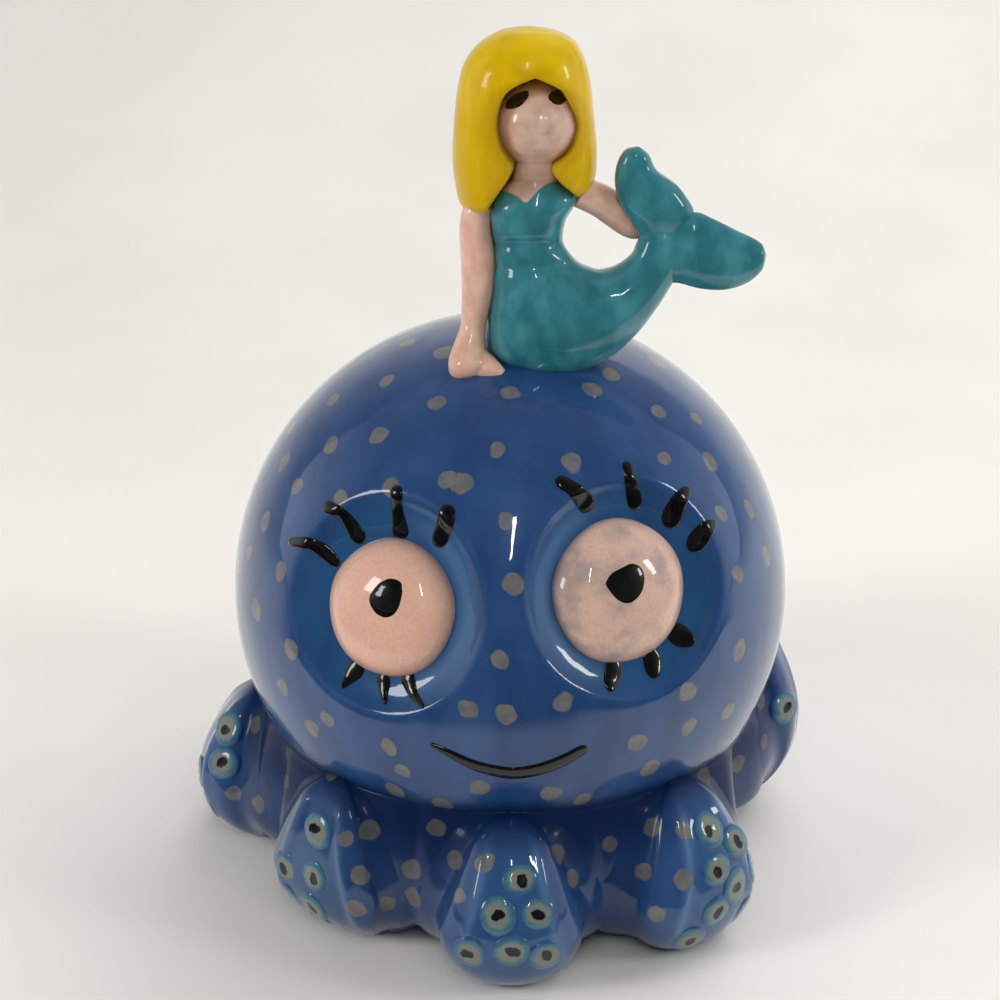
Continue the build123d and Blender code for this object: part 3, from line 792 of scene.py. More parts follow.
# Rows of an arm and of its dome, points of a row on each fillet, the front and the back, how far the back
# lies inside the wall, and how far the whole arm is pressed in
ARM_ROWS = 74
DOME_ROWS = 22
FILLET_POINTS = 11
FRONT_POINTS = 71
BACK_POINTS = 9
BACK_IN = 3.0
PRESSED_IN = 0.06

# Ridges beside the suckers: how far to each side they run at each height, up to the arm's top
RIDGE_Z = (0, 7, 11, 16, 21, 27, 30.5)
RIDGE_SIDE = (9.4, 9.4, 9.2, 7.8, 6.3, 4.9, 3.6, 2.4)
RIDGE_HALF = 1.4
RIDGE_RISE = 0.6
PANEL_DIP = 0.35

# Wall that the arms lean on: heights and radii, and how far it steps back between arms
WALL_Z = (0.0, 2.5, 6.0, 10.0, 15.0, 20.0, 25.0, 29.0, 32.0, 34.0, 36.0, 39.0, 42.0, 45.0)
WALL_R = (47.8, 50.2, 52.2, 53.3, 53.6, 53.0, 51.9, 50.8, 50.0, 50.6, 51.6, 52.6, 53.4, 54.0)
VALLEY = 9.5


def wall_radius(z):
    """Radius of what an arm leans on at height z: the base's slope, then the crease, then the head."""
    return through(WALL_Z, WALL_R, np.asarray(z, float))


def from_arms(azimuth):
    """Degrees between an azimuth and the nearest arm's."""
    return np.abs((azimuth[..., None] - ARM_AZIMUTHS + 180) % 360 - 180).min(-1)


def valley(azimuth, z):
    """How far the wall steps back: not at all near an arm, more the farther the nearest arm is, and less high
    up, under the head."""
    return VALLEY * ease(16, 36, from_arms(azimuth)) * (1 - 0.65 * ease(20, 32, z))


def arm_profile(arm):
    """Heights of an arm's rows, with its stand-out from the wall, half width and fillet at each.  Stand-out
    and width swell to the belly and shrink to the tip, which closes in a small dome."""
    rising = np.sin(np.linspace(0.05, 1, DOME_ROWS) * np.pi / 2)
    climb = np.concatenate([np.linspace(0, ARM_DOME, ARM_ROWS), ARM_DOME + (1 - ARM_DOME) * rising])
    z = arm.top * climb
    low = np.clip(1 - z / arm.belly, 0, 1)
    high = np.clip((z - arm.belly) / (arm.top - arm.belly), 0, 1)
    round_under = (1 - np.sqrt(1 - 0.85 * low**2)) / (1 - np.sqrt(0.15))
    outer = CREASE_R + arm.reach - arm.tuck * round_under - (arm.reach - ARM_TIP_REACH) * high**1.75
    half = ARM_BELLY_HALF * np.sqrt(1 - 0.72 * low**2) - (ARM_BELLY_HALF - ARM_TIP_HALF) * high**1.25
    near_top = np.clip((climb - ARM_DOME) / (1 - ARM_DOME), 0, 1)
    dome = np.sqrt(np.clip(1 - near_top**2, 0.0009, 1))
    stand = np.maximum((outer - wall_radius(z)) * dome, 0.02)
    half = half * (0.12 + 0.88 * dome)
    fillet = np.minimum(FILLET - FILLET_LESS_AT_TIP * high, 0.55 * stand)
    return z, stand[:, None], half[:, None], fillet[:, None]


def wall_under(arm, z, side):
    """Distance outwards to the wall at each height and distance to the side, found in a few rounds because
    the wall's step back depends on the azimuth and the azimuth on the step."""
    straight = wall_radius(z)[:, None]
    wall = straight * np.ones_like(side)
    for _ in range(12):
        there = arm.azimuth + np.degrees(np.arcsin(np.clip(side / wall, -1, 1)))
        wall = straight - valley(there, z[:, None])
    return np.sqrt(np.maximum(wall**2 - side**2, 1))


def arm_grid(arm):
    """Arm as rows of (outwards, sideways, up), with shares of thin glaze and painted sheen and of sucker
    panel and the height above the wall.  A row is a half oval on fillets that run out tangent to the wall,
    with two soft ridges beside the suckers and a back inside the wall."""
    z, stand, half, fillet = arm_profile(arm)
    up = z[:, None]
    bend = np.linspace(0, np.pi / 2, FILLET_POINTS + 1)[None, :-1]
    turn = np.linspace(-np.pi / 2, np.pi / 2, FRONT_POINTS)[None, :]
    skirt = SKIRT * fillet * (0.2 + 0.8 * ease(0, 10, up))
    left_side = -(half + skirt - skirt * np.sin(bend))
    left_out = fillet - fillet * np.cos(bend) - SKIRT_SINK * (1 - np.sin(bend)) ** 2
    front_side = half * np.sin(turn)
    front_out = fillet + (stand - fillet) * np.abs(np.cos(turn)) ** 0.9
    ridge_at = np.interp(up, (*RIDGE_Z, arm.top), RIDGE_SIDE)
    strength = ease(3, 10, up) * ease(arm.top - 0.4, arm.top - 5, up)
    ridge = np.exp(-(((np.abs(front_side) - ridge_at) / RIDGE_HALF) ** 2)) * strength
    panel = ease(ridge_at + 0.8, ridge_at - 0.8, np.abs(front_side)) * strength
    front_out = front_out + RIDGE_RISE * ridge - PANEL_DIP * panel
    back_side = (half + skirt) * np.linspace(0.95, -0.95, BACK_POINTS)[None, :]
    back_out = np.full(back_side.shape, -BACK_IN)
    side = np.concatenate([left_side, front_side, -left_side[:, ::-1], back_side], 1)
    out = np.concatenate([left_out, front_out, left_out[:, ::-1], back_out], 1) - PRESSED_IN
    blank = np.zeros_like(left_side)
    back_blank = np.zeros_like(back_side)
    # Paler on the ridges beside the suckers: thin glaze and painted sheen
    thin = np.concatenate([blank, 0.45 * ridge**3 + 0.06 * panel, blank, back_blank], 1)
    face = np.concatenate([blank, panel, blank, back_blank], 1)
    rows = np.stack(np.broadcast_arrays(wall_under(arm, z, side) + out, side, up), -1)
    return rows, thin, face, out


def turned(rows, azimuth):
    """Grid of (outwards, sideways, up) set at an azimuth in degrees."""
    a = np.radians(azimuth)
    out = np.array([np.sin(a), -np.cos(a), 0.0])
    side = np.array([np.cos(a), np.sin(a), 0.0])
    return rows[..., :1] * out + rows[..., 1:2] * side + rows[..., 2:] * UP


def grid_normals(points):
    """Directions square to a grid, from its slopes both ways, turned outwards from the upright axis."""
    normal = np.cross(np.gradient(points, axis=0), np.gradient(points, axis=1))
    normal = normal / np.maximum(np.linalg.norm(normal, axis=-1, keepdims=True), 1e-9)
    outward = points * np.array([1.0, 1.0, 0.0])
    return np.where((normal * outward).sum(-1, keepdims=True) < 0, -normal, normal)


def seen_places(points, normals, outside, pixels):
    """For each pixel, the grid point of the outer face turned to the camera that is seen nearest to it, and
    how many pixels off it is."""
    flat = points.reshape(-1, 3)
    facing = ((normals.reshape(-1, 3) * (CAMERA - flat)).sum(-1) > 0) & outside.ravel()
    off = np.linalg.norm(project(flat)[None] - np.asarray(pixels, float)[:, None], axis=-1)
    off = off + NEVER_PX * ~facing[None]
    return off.argmin(1), off.min(1)


def nearest_places(rows, outside, spots):
    """For each spot of (sideways, up), the nearest grid point of an arm's outer face."""
    gap = np.abs(rows[None, :, :, 1:] - np.asarray(spots)[:, None, None, :]).sum(-1) + FAR * ~outside[None]
    return gap.reshape(len(spots), -1).argmin(1)


# Suckers: pixels where the photo shows them, else rows of (sideways, up) in mm
SEEN_SUCKERS = {
    "front": ((520, 880), (497, 915), (538, 915), (470, 953), (512, 952), (546, 956)),
    "front_right": ((710, 830), (735, 842), (716, 870), (736, 886), (716, 911), (741, 909), (751, 866),
                    (688, 939)),
    "front_left": ((318, 831), (313, 877), (286, 868), (314, 906)),
    "left": ((227, 729), (223, 763)),
    "right": ((786, 708),),
}
SUCKER_ROWS = ((0.0, 22.5), (-4.2, 15.5), (4.4, 16.5), (-7.6, 8.5), (0.2, 8.0), (7.4, 9.0))
HIDDEN_SUCKERS = {
    "front_left": ((-7.6, 6.6), (-1.6, 3.0)),
    "left": ((4.4, 14.0), (0.3, 8.0), (7.4, 8.0), (-7.4, 8.0)),
    "right": ((0.3, 30.0), (2.6, 22.5), (5.6, 15.0), (-1.2, 13.5), (4.0, 7.0)),
    "back_right": SUCKER_ROWS,
    "back": SUCKER_ROWS,
    "back_left": SUCKER_ROWS,
}

# A sucker's half width, rise, dip and sink, and the half sizes of the dab on it
SUCKER_HALF = 3.3
SUCKER_RISE = 0.55
SUCKER_DIP = 0.16
SUCKER_SINK = 0.1
DAB_LONG = 1.35
DAB_SHORT = 0.95
DAB_ASIDE = 0.35
SUCKER_AROUND = 40


def make_sucker(place, normal, rng, half):
    """Button pressed on an arm: a low rounded ring with a shallow dip in its middle and a skirt that sinks
    into the arm, as rows round its axis."""
    up = unit(UP - normal[2] * normal)
    across = np.cross(up, normal)
    share = np.concatenate([[0.02], even(21)[1:], [1.06, 1.12]])[:, None]
    angle = turns(SUCKER_AROUND)
    face = np.minimum(share, 1)
    height = SUCKER_RISE * (1 - face**3.2) - SUCKER_DIP * np.exp(-((face / 0.4) ** 2)) - 8 * (share - face)
    flat = np.cos(angle)[:, None] * across + np.sin(angle)[:, None] * up
    oval = half * (1 + 0.06 * np.sin(2 * angle + rng.uniform(0, 6)))
    points = place + (share * oval)[..., None] * flat + (height - SUCKER_SINK)[..., None] * normal
    aside = rng.normal(scale=DAB_ASIDE, size=2)
    tilt = rng.uniform(0, np.pi)
    x = share * half * np.cos(angle) - aside[0]
    y = share * half * np.sin(angle) - aside[1]
    long_way = x * np.cos(tilt) + y * np.sin(tilt)
    short_way = y * np.cos(tilt) - x * np.sin(tilt)
    dab = np.sqrt((long_way / DAB_LONG) ** 2 + (short_way / DAB_SHORT) ** 2) - 1
    return lump(points, ring=share * np.ones_like(dab), dab=dab)


# Dots on arms that the photo shows in part or not at all, and on the back of the base; how many pixels off
# a dot read off the photo may land on an arm or on the base
HALF_SEEN = ("right", "back_right", "back", "back_left", "left")
FLANK_DOTS = 8
BACK_DOTS = 19
GOLDEN = 0.618
ARM_DOT_PX = 5
BASE_DOT_PX = 3


def flank_dots(rows, points, normals, outside, rng):
    """Dots on both flanks of an arm, from foot to tip, kept where the photo does not show them."""
    flank = np.where(np.arange(FLANK_DOTS) % 2 == 0, 1, -1) * rng.uniform(9.5, 14.0, FLANK_DOTS)
    height = np.linspace(5, 29, FLANK_DOTS) + rng.uniform(-1, 1, FLANK_DOTS)
    at = nearest_places(rows, outside, np.stack([flank, height], -1))
    places = points[at]
    hidden = ((CAMERA - places) * normals[at]).sum(-1) < 0
    return places[hidden | (places[:, 1] > 20)]


def make_arm(name, arm, rng):
    """Arm with its dots, and the suckers on it."""
    rows, thin, face, out = arm_grid(arm)
    points = turned(rows, arm.azimuth)
    normals = grid_normals(points)
    flat = points.reshape(-1, 3)
    flat_normals = normals.reshape(-1, 3)
    found, off = seen_places(points, normals, out > 0, ARM_DOTS)
    places = flat[found[off < ARM_DOT_PX]]
    if name in HALF_SEEN:
        places = np.concatenate([places, flank_dots(rows, flat, flat_normals, out >= 0, rng)])
    dots = dot_fields(points, places, rng)
    up = points[..., 2]
    # Pooled glaze and painted shade on the arm's foot under the head and on its top by the crease
    pool_and_shade_under_head = ease(8, 0, out) * web_pool(up)
    pool_and_shade_at_tip = ease(arm.top - 5, arm.top, up) * ease(5.5, 1.6, out) * 0.95
    pool = np.maximum(pool_and_shade_under_head, pool_and_shade_at_tip)
    make(f"arm_{name}", [lump(points, teal=face * 0.7, pool=pool, thin=thin, **dots)], blue)
    chosen = []
    if name in SEEN_SUCKERS:
        chosen.extend(seen_places(points, normals, out > 0.5, SEEN_SUCKERS[name])[0])
    if name in HIDDEN_SUCKERS:
        chosen.extend(nearest_places(rows, out >= 0.5, HIDDEN_SUCKERS[name]))
    buttons = []
    for at in chosen:
        half = SUCKER_HALF * rng.uniform(0.9, 1.06)
        buttons.append(make_sucker(flat[at], flat_normals[at], rng, half))
    make(f"suckers_{name}", buttons, suckers_finish)


for number, (name, arm) in enumerate(ARMS.items()):
    make_arm(name, arm, np.random.default_rng(SEED + 20 + number))

# Base: its wall ends at the crease; then (radius, up) of the seat, the inside, the floor and the foot ring
BASE_TOP = 32.0
VENT_R = 6.5
FOOT_RING_R = 41.6
BASE_INSIDE = np.array([
    (48.6, 32.4), (45.4, 24.0), (39.2, 24.0), (42.4, 6.5), (VENT_R, 6.5), (VENT_R, 2.0), (FOOT_RING_R, 2.0),
    (FOOT_RING_R, 0.0),
])
BASE_ARCH = 4.2
BASE_ROWS = 56
BASE_AROUND = 420


def make_base():
    """Ring wall as a profile carried round the upright axis; its foot arches up between the arms."""
    wall_up = np.linspace(0, BASE_TOP, BASE_ROWS)
    radius = np.concatenate([wall_radius(wall_up), BASE_INSIDE[:, 0]])[:, None]
    height = np.concatenate([wall_up, BASE_INSIDE[:, 1]])[:, None]
    azimuth = turns(BASE_AROUND)
    apart = np.radians(from_arms(np.degrees(azimuth))) * WALL_R[0]
    foot = ease(9, 0, height) * (radius > FOOT_RING_R - 1)
    up = height + BASE_ARCH * ease(9, 17, apart) * foot
    radius = radius - valley(np.degrees(azimuth), height) * (radius > VENT_R)
    points = about_axis(radius, azimuth, up)
    outside = (np.arange(len(radius)) < BASE_ROWS)[:, None] * np.ones(BASE_AROUND, bool)
    found, off = seen_places(points, grid_normals(points), outside, ARM_DOTS)
    places = points.reshape(-1, 3)[found[off < BASE_DOT_PX]]
    rng = np.random.default_rng(SEED + 60)
    back = np.linspace(66, 294, BACK_DOTS) + rng.uniform(-3, 3, BACK_DOTS)
    back_z = 9 + 17 * (np.arange(BACK_DOTS) * GOLDEN % 1)
    spots = about_axis(wall_radius(back_z) - valley(back, back_z), np.radians(back), back_z)
    places = np.concatenate([places, spots[spots[:, 1] > 8]])
    dots = dot_fields(points, places, rng)
    # Pooled glaze and painted shade on the wall under the head
    pool = web_pool(height) * np.ones_like(up)
    none = np.zeros_like(up)
    make("base_collar", [lump(points, True, teal=none, pool=pool, thin=none, **dots)], blue)


make_base()


# Mermaid.  Edges are read off the photo as pairs of pixels and put on upright planes.
MERMAID_Y = -12.5
BODY_EDGES = np.array([
    (524, 172, 546, 171), (512, 180, 556, 178), (496, 192, 574, 189), (489, 206, 577, 200),
    (491, 226, 566, 220), (493, 250, 563, 240), (491, 284, 569, 252), (487, 322, 578, 262),
    (493, 358, 588, 267), (540, 376, 598, 270), (580, 370, 607, 269), (612, 354, 616, 266),
    (638, 331, 625, 260), (657, 307, 632, 253), (671, 285, 636, 244), (682, 268, 644, 230),
    (690, 254, 656, 222), (694, 246, 668, 222),
], float)
BODY_DEPTH = np.array([
    5.5, 7.5, 9.5, 11.5, 11.2, 10.6, 12.4, 15.0, 17.0, 17.0, 15.8, 14.2, 12.2, 10.4, 8.8, 7.8, 6.8, 4.0,
])
NECKLINE = np.array([(480, 192), (494, 190), (507, 192), (518, 197), (526, 203), (534, 195), (545, 185),
                     (556, 182), (570, 184), (590, 188)], float)
UPPER_LOBE = np.array([
    (644, 244, 684, 240), (634, 226, 692, 222), (623, 210, 694, 211), (617, 195, 688, 199),
    (614.5, 180, 676, 184), (617, 163, 657, 170), (624, 151, 650, 156), (634, 145.5, 643, 147.5),
], float)
SIDE_LOBE = np.array([
    (660, 226, 652, 276), (678, 217, 664, 282), (696, 212, 679, 283), (714, 219, 701, 288.5),
    (738, 231, 725, 289.5), (752, 237.5, 746, 283), (761, 243, 760, 272), (766.5, 250, 766, 261),
], float)
UPPER_THICK = np.array([3.4, 5.6, 6.8, 7.0, 6.4, 5.4, 4.4, 2.4])
SIDE_THICK = np.array([3.4, 5.8, 7.0, 7.2, 6.4, 5.4, 4.2, 2.4])

# Folds at the waist, in pixels down with their half width, and where they run out to the right; mm to a pixel
FOLDS_PX = (245, 268)
FOLD_HALF_PX = 6
FOLDS_END_PX = (575, 560)
FOLD_DEPTH = 0.6
PX_ON_MERMAID = 0.18
BODICE_STEP = 0.35

# Shares of a roll that close it: hardly any at a flat end, more at the tip of a lobe
FLAT_END = 1e-6
LOBE_END = 0.12
ROLL_TIP = 0.003
BODY_ROWS = 150
BODY_AROUND = 72
LOBE_ROWS = 60
LOBE_AROUND = 48
SIDE_LOBE_AHEAD = 0.6


def between_edges(edges, depths, y, rows):
    """Rows that join two edges seen in the photo on the upright plane at y: middles, half widths as vectors
    from the first edge towards the second, and half depths as vectors along Y."""
    share = even(rows)
    knots = even(len(edges))
    pairs = through(knots, edges, share)
    one = on_upright(pairs[:, :2], y)
    two = on_upright(pairs[:, 2:], y)
    deep = through(knots, depths, share)[:, None, None] / 2 * BACKWARDS
    return ((one + two) / 2)[:, None, :], ((two - one) / 2)[:, None, :], deep


def roll(edges, depths, y, rows, around, end=FLAT_END):
    """Roll between two edges: each row is an oval with the edges' width and the given depth; the first row
    closes flat, and the last share of the rows closes in a round end."""
    middle, side, deep = between_edges(edges, depths, y, rows)
    share = even(rows)[:, None, None]
    full = rounded(share / FLAT_END, ROLL_TIP) * rounded((1 - share) / end, ROLL_TIP)
    angle = turns(around)[None, :, None]
    return middle + full * (side * np.cos(angle) + deep * np.sin(angle))


def make_body():
    """Bodice, hips and tail in one bent roll, with two shallow folds at the waist and a curved neckline."""
    points = roll(BODY_EDGES, BODY_DEPTH, MERMAID_Y, BODY_ROWS, BODY_AROUND)
    across, down = np.moveaxis(project(points), -1, 0)
    front = ease(-MERMAID_Y - 2, -MERMAID_Y + 2, -points[..., 1])
    folds = sum(np.exp(-(((down - fold) / FOLD_HALF_PX) ** 2)) for fold in FOLDS_PX)
    points[..., 1] += FOLD_DEPTH * folds * (ease(*FOLDS_END_PX, across) * front)
    skin = (through_grid(NECKLINE[:, 0], NECKLINE[:, 1], across) - down) * PX_ON_MERMAID
    points[..., 1] += BODICE_STEP * ease(-0.3, 0.6, skin) * front
    make("mermaid_body", [lump(points, skin=skin)], teal_finish)


def make_fin():
    """Two lobes that run out of the tail's end, each a roll with a round tip; neither shows any skin."""
    upper = roll(UPPER_LOBE, UPPER_THICK, MERMAID_Y, LOBE_ROWS, LOBE_AROUND, LOBE_END)
    side_y = MERMAID_Y - SIDE_LOBE_AHEAD
    side = roll(SIDE_LOBE, SIDE_THICK, side_y, LOBE_ROWS, LOBE_AROUND, LOBE_END)
    none = -np.ones(upper.shape[:2])
    make("mermaid_fluke", [lump(upper, skin=none), lump(side, skin=none)], teal_finish)


make_body()
make_fin()

# Mermaid's arms: pixels, y of the plane, width in mm
LEFT_ARM = np.array([
    (484, 200, -12.5, 4.6), (477, 212, -12.6, 5.4), (475.5, 232, -12.7, 5.9), (478, 258, -13.0, 6.3),
    (478, 285, -13.4, 6.0), (475, 312, -14.1, 5.1), (473, 328, -14.7, 4.7), (470, 346, -15.6, 6.0),
    (469, 360, -16.6, 7.6), (470, 371, -17.6, 7.4), (473, 380, -18.4, 3.0),
])
FINGERS = np.array([
    (473, 362, -16.4, 6.8), (483, 366, -17.4, 5.6), (494, 371, -18.3, 4.0), (504, 375, -19.0, 1.8),
])
RIGHT_ARM = np.array([
    (576, 192, -11.7, 5.2), (590, 196, -10.9, 6.0), (603, 202, -10.1, 6.2), (617, 212, -9.3, 6.2),
    (630, 222, -8.7, 5.8), (640, 228, -8.3, 4.6), (646, 231, -8.1, 2.0),
])
LIMB_END = 0.05


def limb(stations, rows=50):
    """Round limb along pixels on upright planes, closed by a blunt end."""
    share = even(rows)
    values = through(even(len(stations)), stations, share)
    path = on_upright(values[:, :2], values[:, 2])
    half = values[:, 3] / 2 * rounded((1 - share) / LIMB_END, STROKE_TIP)
    return lump(tube(path, half, half, np.tile(BACKWARDS, (rows, 1))))


make("mermaid_arm_left", [limb(LEFT_ARM, 70), limb(FINGERS, 40)], skin_finish)
make("mermaid_arm_right", [limb(RIGHT_ARM)], skin_finish)

# Mermaid's head and hair
FACE_PX = (537.0, 124.0)
FACE_MIDDLE = on_upright(FACE_PX, MERMAID_Y)
FACE_HALF = np.array([7.7, 7.4, 7.9])
FACE_ROWS = 80
FACE_AROUND = 96
CHIN_NARROW = 0.2
NOSE_PX = (551, 117)
NOSE_RISE = 1.8
NOSE_HALF = 1.5
NOSE_STRETCH = (1, 0.4, 0.75)
MOUTH_PX = (546, 135)
MOUTH_DIP = 0.4
MOUTH_IN = 0.8
MOUTH_STRETCH = (0.55, 0.4, 1.3)
NECK_ROWS = 14
NECK_PX = (534.0, 192.0)
NECK_HALF = 4.8
NECK_DEEP = 3.2
HAIR_EDGES = np.array([
    (522, 29.5, 534, 29.5), (500, 34, 556, 34), (482, 44, 573, 42), (470, 56, 582, 54), (462, 70, 588, 70),
    (457, 90, 592, 90), (454.5, 112, 594, 110), (453, 132, 596, 130), (452, 150, 597.5, 147),
    (452.5, 168, 597.5, 163), (454.5, 185, 596.5, 176), (458, 202, 594, 186), (462, 209, 591, 190),
], float)
HAIR_DEPTH = np.array([1.8, 9.0, 14.5, 18.0, 20.0, 21.4, 22.0, 22.0, 21.8, 21.4, 20.8, 19.8, 18.6])
HAIR_BACK = 3.0
HAIR_ROWS = 120
HAIR_AROUND = 168
OPENING_Y = np.array([80.0, 86, 92, 100, 112, 124, 138, 150, 160, 170, 178, 186, 196, 210])
OPENING_LEFT = np.array([534.0, 520, 510, 503, 498, 496, 497, 500, 505, 510, 509, 505, 498, 488])
OPENING_RIGHT = np.array([536.0, 550, 561, 567, 573, 577, 576, 573, 566, 556, 556, 562, 574, 586])


def make_face():
    """Egg-shaped head with a small nose and a pressed mouth, on a neck that is narrowest half way down;
    returns the points of the face."""
    angle = turns(FACE_AROUND)
    polar = np.linspace(0.02, np.pi - 0.62, FACE_ROWS)[:, None]
    directions = about_axis(np.sin(polar), angle, np.cos(polar))
    narrow = 1 - CHIN_NARROW * np.clip(-directions[..., 2], 0, 1) ** 1.6
    points = directions * FACE_HALF * np.stack([narrow, narrow, np.ones_like(narrow)], -1)
    points = points + FACE_MIDDLE
    front_y = FACE_MIDDLE[1] - FACE_HALF[1]
    off_nose = (points - on_upright(NOSE_PX, front_y)) * NOSE_STRETCH / NOSE_HALF
    off_mouth = (points - on_upright(MOUTH_PX, front_y + MOUTH_IN)) * MOUTH_STRETCH
    nose = NOSE_RISE * np.exp(-(off_nose**2).sum(-1))
    mouth = MOUTH_DIP * np.exp(-(off_mouth**2).sum(-1))
    points[..., 1] -= (nose - mouth) * (directions[..., 1] < -0.3)
    chin = points[-1]
    oval = np.stack([NECK_HALF * np.sin(angle), -NECK_DEEP * np.cos(angle), np.zeros_like(angle)], -1)
    neck = on_upright(NECK_PX, MERMAID_Y) + oval
    share = even(NECK_ROWS)[:, None, None]
    middle = chin.mean(0) + (neck.mean(0) - chin.mean(0)) * share
    neck_rows = chin + (neck - chin) * ease(0, 1, share)
    neck_rows = middle + (neck_rows - middle) * (1 - 0.1 * np.sin(np.pi * share))
    make("mermaid_head", [lump(np.concatenate([points, neck_rows[1:]]))], shaded_face_finish)
    return points


def make_hair():
    """Bell of hair between the two edges seen in the photo; inside the face's opening its front is pushed
    back behind the face, so that the rest stands forward with a rounded edge."""
    middle, side, deep = between_edges(HAIR_EDGES, HAIR_DEPTH, MERMAID_Y, HAIR_ROWS)
    angle = turns(HAIR_AROUND)[None, :, None]
    swell = np.abs(np.sin(angle)) ** 0.85 * np.sign(np.sin(angle))
    points = middle + HAIR_BACK * BACKWARDS + side * np.cos(angle) + deep * swell
    across, down = np.moveaxis(project(points), -1, 0)
    left = through_grid(OPENING_Y, OPENING_LEFT, down)
    right = through_grid(OPENING_Y, OPENING_RIGHT, down)
    inside = np.minimum(across - left, right - across)
    inside = np.minimum(inside, (down - OPENING_Y[0]) * 1.5)
    front = points[..., 1] < MERMAID_Y + 1
    push = ease(-3, 9, inside) * front
    points[..., 1] += push * np.maximum(MERMAID_Y + 1.5 - points[..., 1], 0)
    low_down = ease(0.45, 0.85, even(HAIR_ROWS))[:, None] * 0.5
    ochre = np.maximum(ease(-26, -4, inside) * front * 0.8, low_down)
    make("mermaid_hair", [lump(points, deep=ochre)], yellow)


# Mermaid's eyes: outlines in pixels
MERMAID_EYES = np.array([
    [(504, 108), (506, 101), (512, 95), (520, 91), (528, 90), (530, 94), (526, 102), (518, 108), (509, 110)],
    [(547, 97), (550, 92), (556, 89), (563, 88), (568, 91), (569, 97), (565, 103), (558, 106), (551, 103)],
], float)
DAB_RISE = 0.5
DAB_SINK = 0.2


def make_mermaid_eyes(face):
    """Two leaf-shaped dabs: rows shrink each outline towards its middle, at the depth of the face there,
    which is a mean over the six face points that are seen nearest."""
    flat = face.reshape(-1, 3)
    front = flat[:, 1] < FACE_MIDDLE[1]
    spots = project(flat)
    lumps = []
    for outline in MERMAID_EYES:
        pixels, share = dab_rows(outline, 48, 12, 0.03)
        off = ((spots - pixels[:, :, None]) ** 2).sum(-1) + 9e4 * ~front
        near = np.argsort(off, -1)[..., :6]
        weight = 1 / (np.take_along_axis(off, near, -1) + 1)
        depth = (flat[near][..., 1] * weight).sum(-1) / weight.sum(-1)
        points = on_upright(pixels, depth)
        points[..., 1] -= (DAB_RISE * np.sqrt(1 - share**2.2) - DAB_SINK)[:, None]
        lumps.append(lump(points))
    make("mermaid_eyes", lumps, black)


face_points = make_face()
make_hair()
make_mermaid_eyes(face_points)


# Stage: a pale floor that sweeps up behind, and a dark card that shows only in the glaze
FLOOR_HALF = 1600.0
FLOOR_FRONT = 1500.0
FLOOR_RUN = 2500.0
BACKDROP = 1500.0
CARD_MIDDLE_X = 65.0
CARD_INNER = (245.0, 116.0)
CARD_OUTER = 1200.0
CARD_Z = 1.0
CARD_FADE = 40.0
CARD_TURN = np.radians(105)
CARD_FULL_TURN = np.radians(75)


def sheet(name, grid, material):
    """Open sheet over a grid of points."""
    n, m = grid.shape[:2]
    at = np.arange(n * m).reshape(n, m)
    quads = np.stack([at[:-1, :-1], at[:-1, 1:], at[1:, 1:], at[1:, :-1]], -1).reshape(-1, 4)
    mesh = bpy.data.meshes.new(name)
    mesh.from_pydata((grid.reshape(-1, 3) * MM).tolist(), [], quads.tolist())
    mesh.shade_smooth()
    mesh.materials.append(material)
    thing = bpy.data.objects.new(name, mesh)
    bpy.context.scene.collection.objects.link(thing)
    return thing


def floor_paint():
    """Pale and nearly even.  The camera sees it glow far out in front and beside the object, but not near it
    or behind it, so that it looks evenly lit."""
    g = Glaze("floor", roughness=0.7, coat=0.0)
    shade = g.mix(g.clouds(0.3, 0.7, 0.01), *PALE)
    axes = g.axes("Object")
    aside = g.combine("SUBTRACT", g.combine("ABSOLUTE", axes["X"], 0.0), 0.25)
    ahead = g.times(axes["Y"], -1.0)
    far_off = g.spread(g.combine("MAXIMUM", aside, ahead), 0.25, 1.0, 0.0, 0.75)
    g.set("Emission Strength", g.times(g.kind_of_ray("Is Camera Ray"), far_off))
    g.set("Emission Color", shade)
    return g.done(shade)


def make_floor():
    """Floor that runs back from the front and then sweeps up into a backdrop."""
    along = even(60)[:, None]
    across = np.linspace(-FLOOR_HALF, FLOOR_HALF, 24)[None, :]
    y = -FLOOR_FRONT + FLOOR_RUN * ease(0, 0.85, along) ** 0.9
    z = BACKDROP * ease(0.5, 1.0, along) ** 1.5
    floor = sheet("floor", np.stack(np.broadcast_arrays(across, y, z), -1), floor_paint())


def make_dark_card():
    """Dark sheet on the floor in front of the object and beside it, seen only in the glaze: a ring sector
    whose inner edge is an oval and whose outer edge lies far out."""
    turn = np.linspace(-CARD_TURN, CARD_TURN, 64)[None, :]
    out = (even(40) ** 2)[:, None]
    inner_x, inner_y = CARD_INNER
    x = CARD_MIDDLE_X + (inner_x + (CARD_OUTER - inner_x) * out) * np.sin(turn)
    y = -(inner_y + (CARD_OUTER - inner_y) * out) * np.cos(turn)
    g = Glaze("dark_card", roughness=0.8, coat=0.0)
    g.set("Alpha", g.field("fade"))
    paint = g.done(g.mix(g.noise(0.01, 2), *DARK))
    card = sheet("dark_card", np.stack(np.broadcast_arrays(x, y, CARD_Z), -1), paint)
    fade = ease(CARD_TURN, CARD_FULL_TURN, np.abs(turn)) * ease(0, CARD_FADE, out * (CARD_OUTER - inner_y))
    data = card.data.attributes.new("fade", "FLOAT", "POINT").data
    data.foreach_set("value", fade.astype(np.float32).ravel())
    card.visible_camera = False
    card.visible_diffuse = False
    card.visible_shadow = False


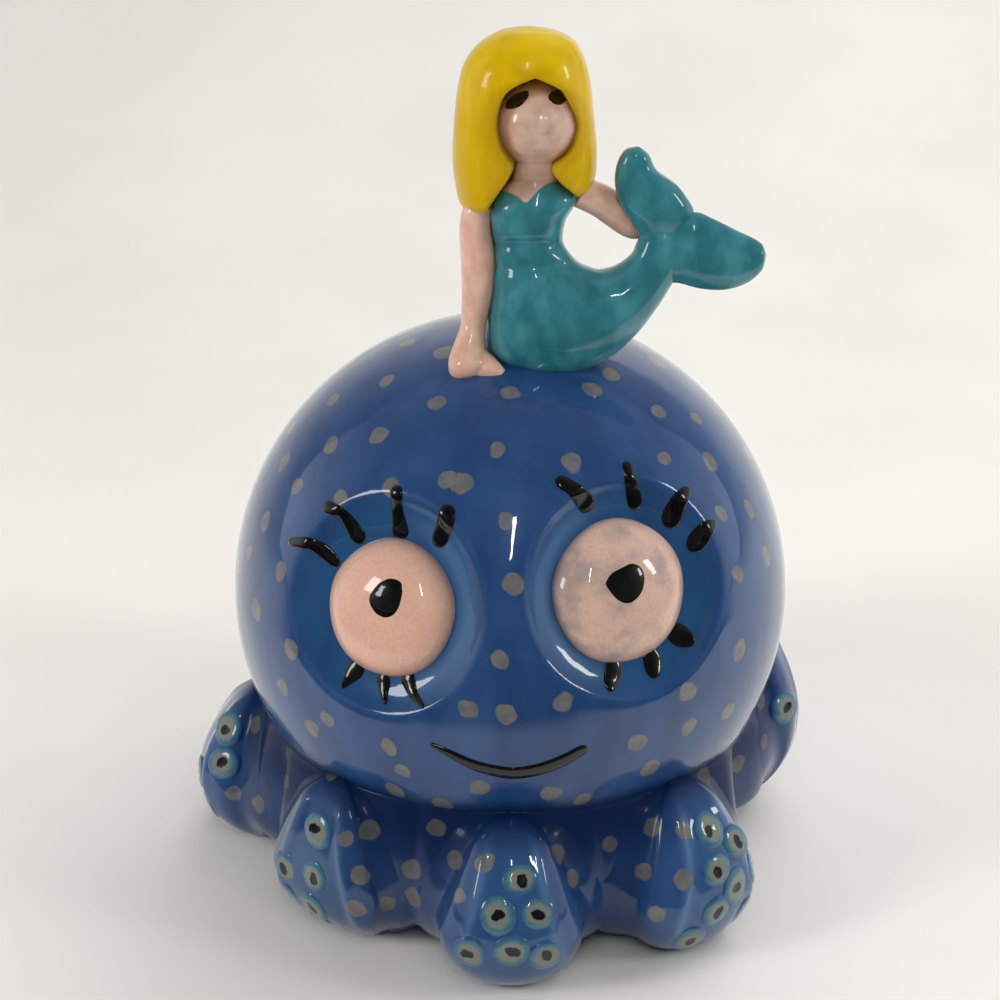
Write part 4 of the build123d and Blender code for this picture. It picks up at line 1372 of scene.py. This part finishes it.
# Lights: place and aim in metres, size, power, and whether the glaze mirrors it
LIGHTS = {
    "lamp_front": ((0.03, -0.84, 0.79), (0, 0, 0.08), (0.022, 0.3), 0.9, True),
    "window_left": ((-0.74, -0.39, 0.4), (0, 0, 0.07), (0.16, 0.24), 1.1, True),
    "window_right": ((0.79, -0.26, 0.42), (0, 0, 0.07), (0.1, 0.18), 0.7, True),
    "soft_left": ((-0.74, -0.39, 0.45), (0, 0, 0.07), (0.3, 0.3), 2.2, False),
    "soft_right": ((0.79, -0.26, 0.45), (0, 0, 0.07), (0.3, 0.3), 1.5, False),
    "soft_back": ((0.45, 0.6, 0.95), (0, 0, 0.05), (1.4, 0.8), 9.0, False),
    "soft_front": ((0.1, -0.7, 0.9), (0, 0, 0.05), (0.9, 0.6), 2.0, False),
}


def add_light(name, place, aim, size, power, mirrored):
    """Rectangular lamp at a place in metres, turned to an aim; one that isn't mirrored gives no highlight."""
    data = bpy.data.lights.new(name, "AREA")
    data.shape = "RECTANGLE"
    data.size, data.size_y = size
    data.energy = power
    lamp = bpy.data.objects.new(name, data)
    lamp.location = place
    heading = np.array(aim) - np.array(place)
    flat = np.hypot(heading[0], heading[1])
    lamp.rotation_euler = (np.arctan2(flat, -heading[2]), 0, np.arctan2(heading[1], heading[0]) - np.pi / 2)
    lamp.visible_glossy = mirrored
    bpy.context.scene.collection.objects.link(lamp)


def make_room():
    """Bright all round at eye level and behind the object, darker overhead and behind the camera; the camera
    itself sees it evenly pale."""
    world = bpy.data.worlds.new("room")
    world.use_nodes = True
    s = Shades(world.node_tree)
    axes = s.axes("Generated")
    level = s.times(s.spread(axes["Y"], -0.7, 0.4, 0.1, 1.0), s.spread(axes["Z"], 0.1, 0.75, 1.0, 0.3))
    seen = s.kind_of_ray("Is Camera Ray")
    background = world.node_tree.nodes["Background"].inputs
    s.feed(background["Strength"], s.combine("MAXIMUM", level, seen))
    s.feed(background["Color"], s.mix(seen, DAYLIGHT, PALE[0]))
    bpy.context.scene.world = world


make_floor()
make_dark_card()
for name, light in LIGHTS.items():
    add_light(name, *light)
make_room()

camera_data = bpy.data.cameras.new("camera")
camera_data.sensor_width = SENSOR
camera_data.lens = SENSOR * FOCAL_PX / (2 * MIDDLE_PX)
camera_data.clip_start = 0.01
camera = bpy.data.objects.new("camera", camera_data)
camera.location = CAMERA * MM
camera.rotation_euler = Euler((np.pi / 2 - CAMERA_DOWN, 0, 0))
bpy.context.scene.collection.objects.link(camera)
bpy.context.scene.camera = camera
bpy.context.scene.view_settings.view_transform = "Standard"
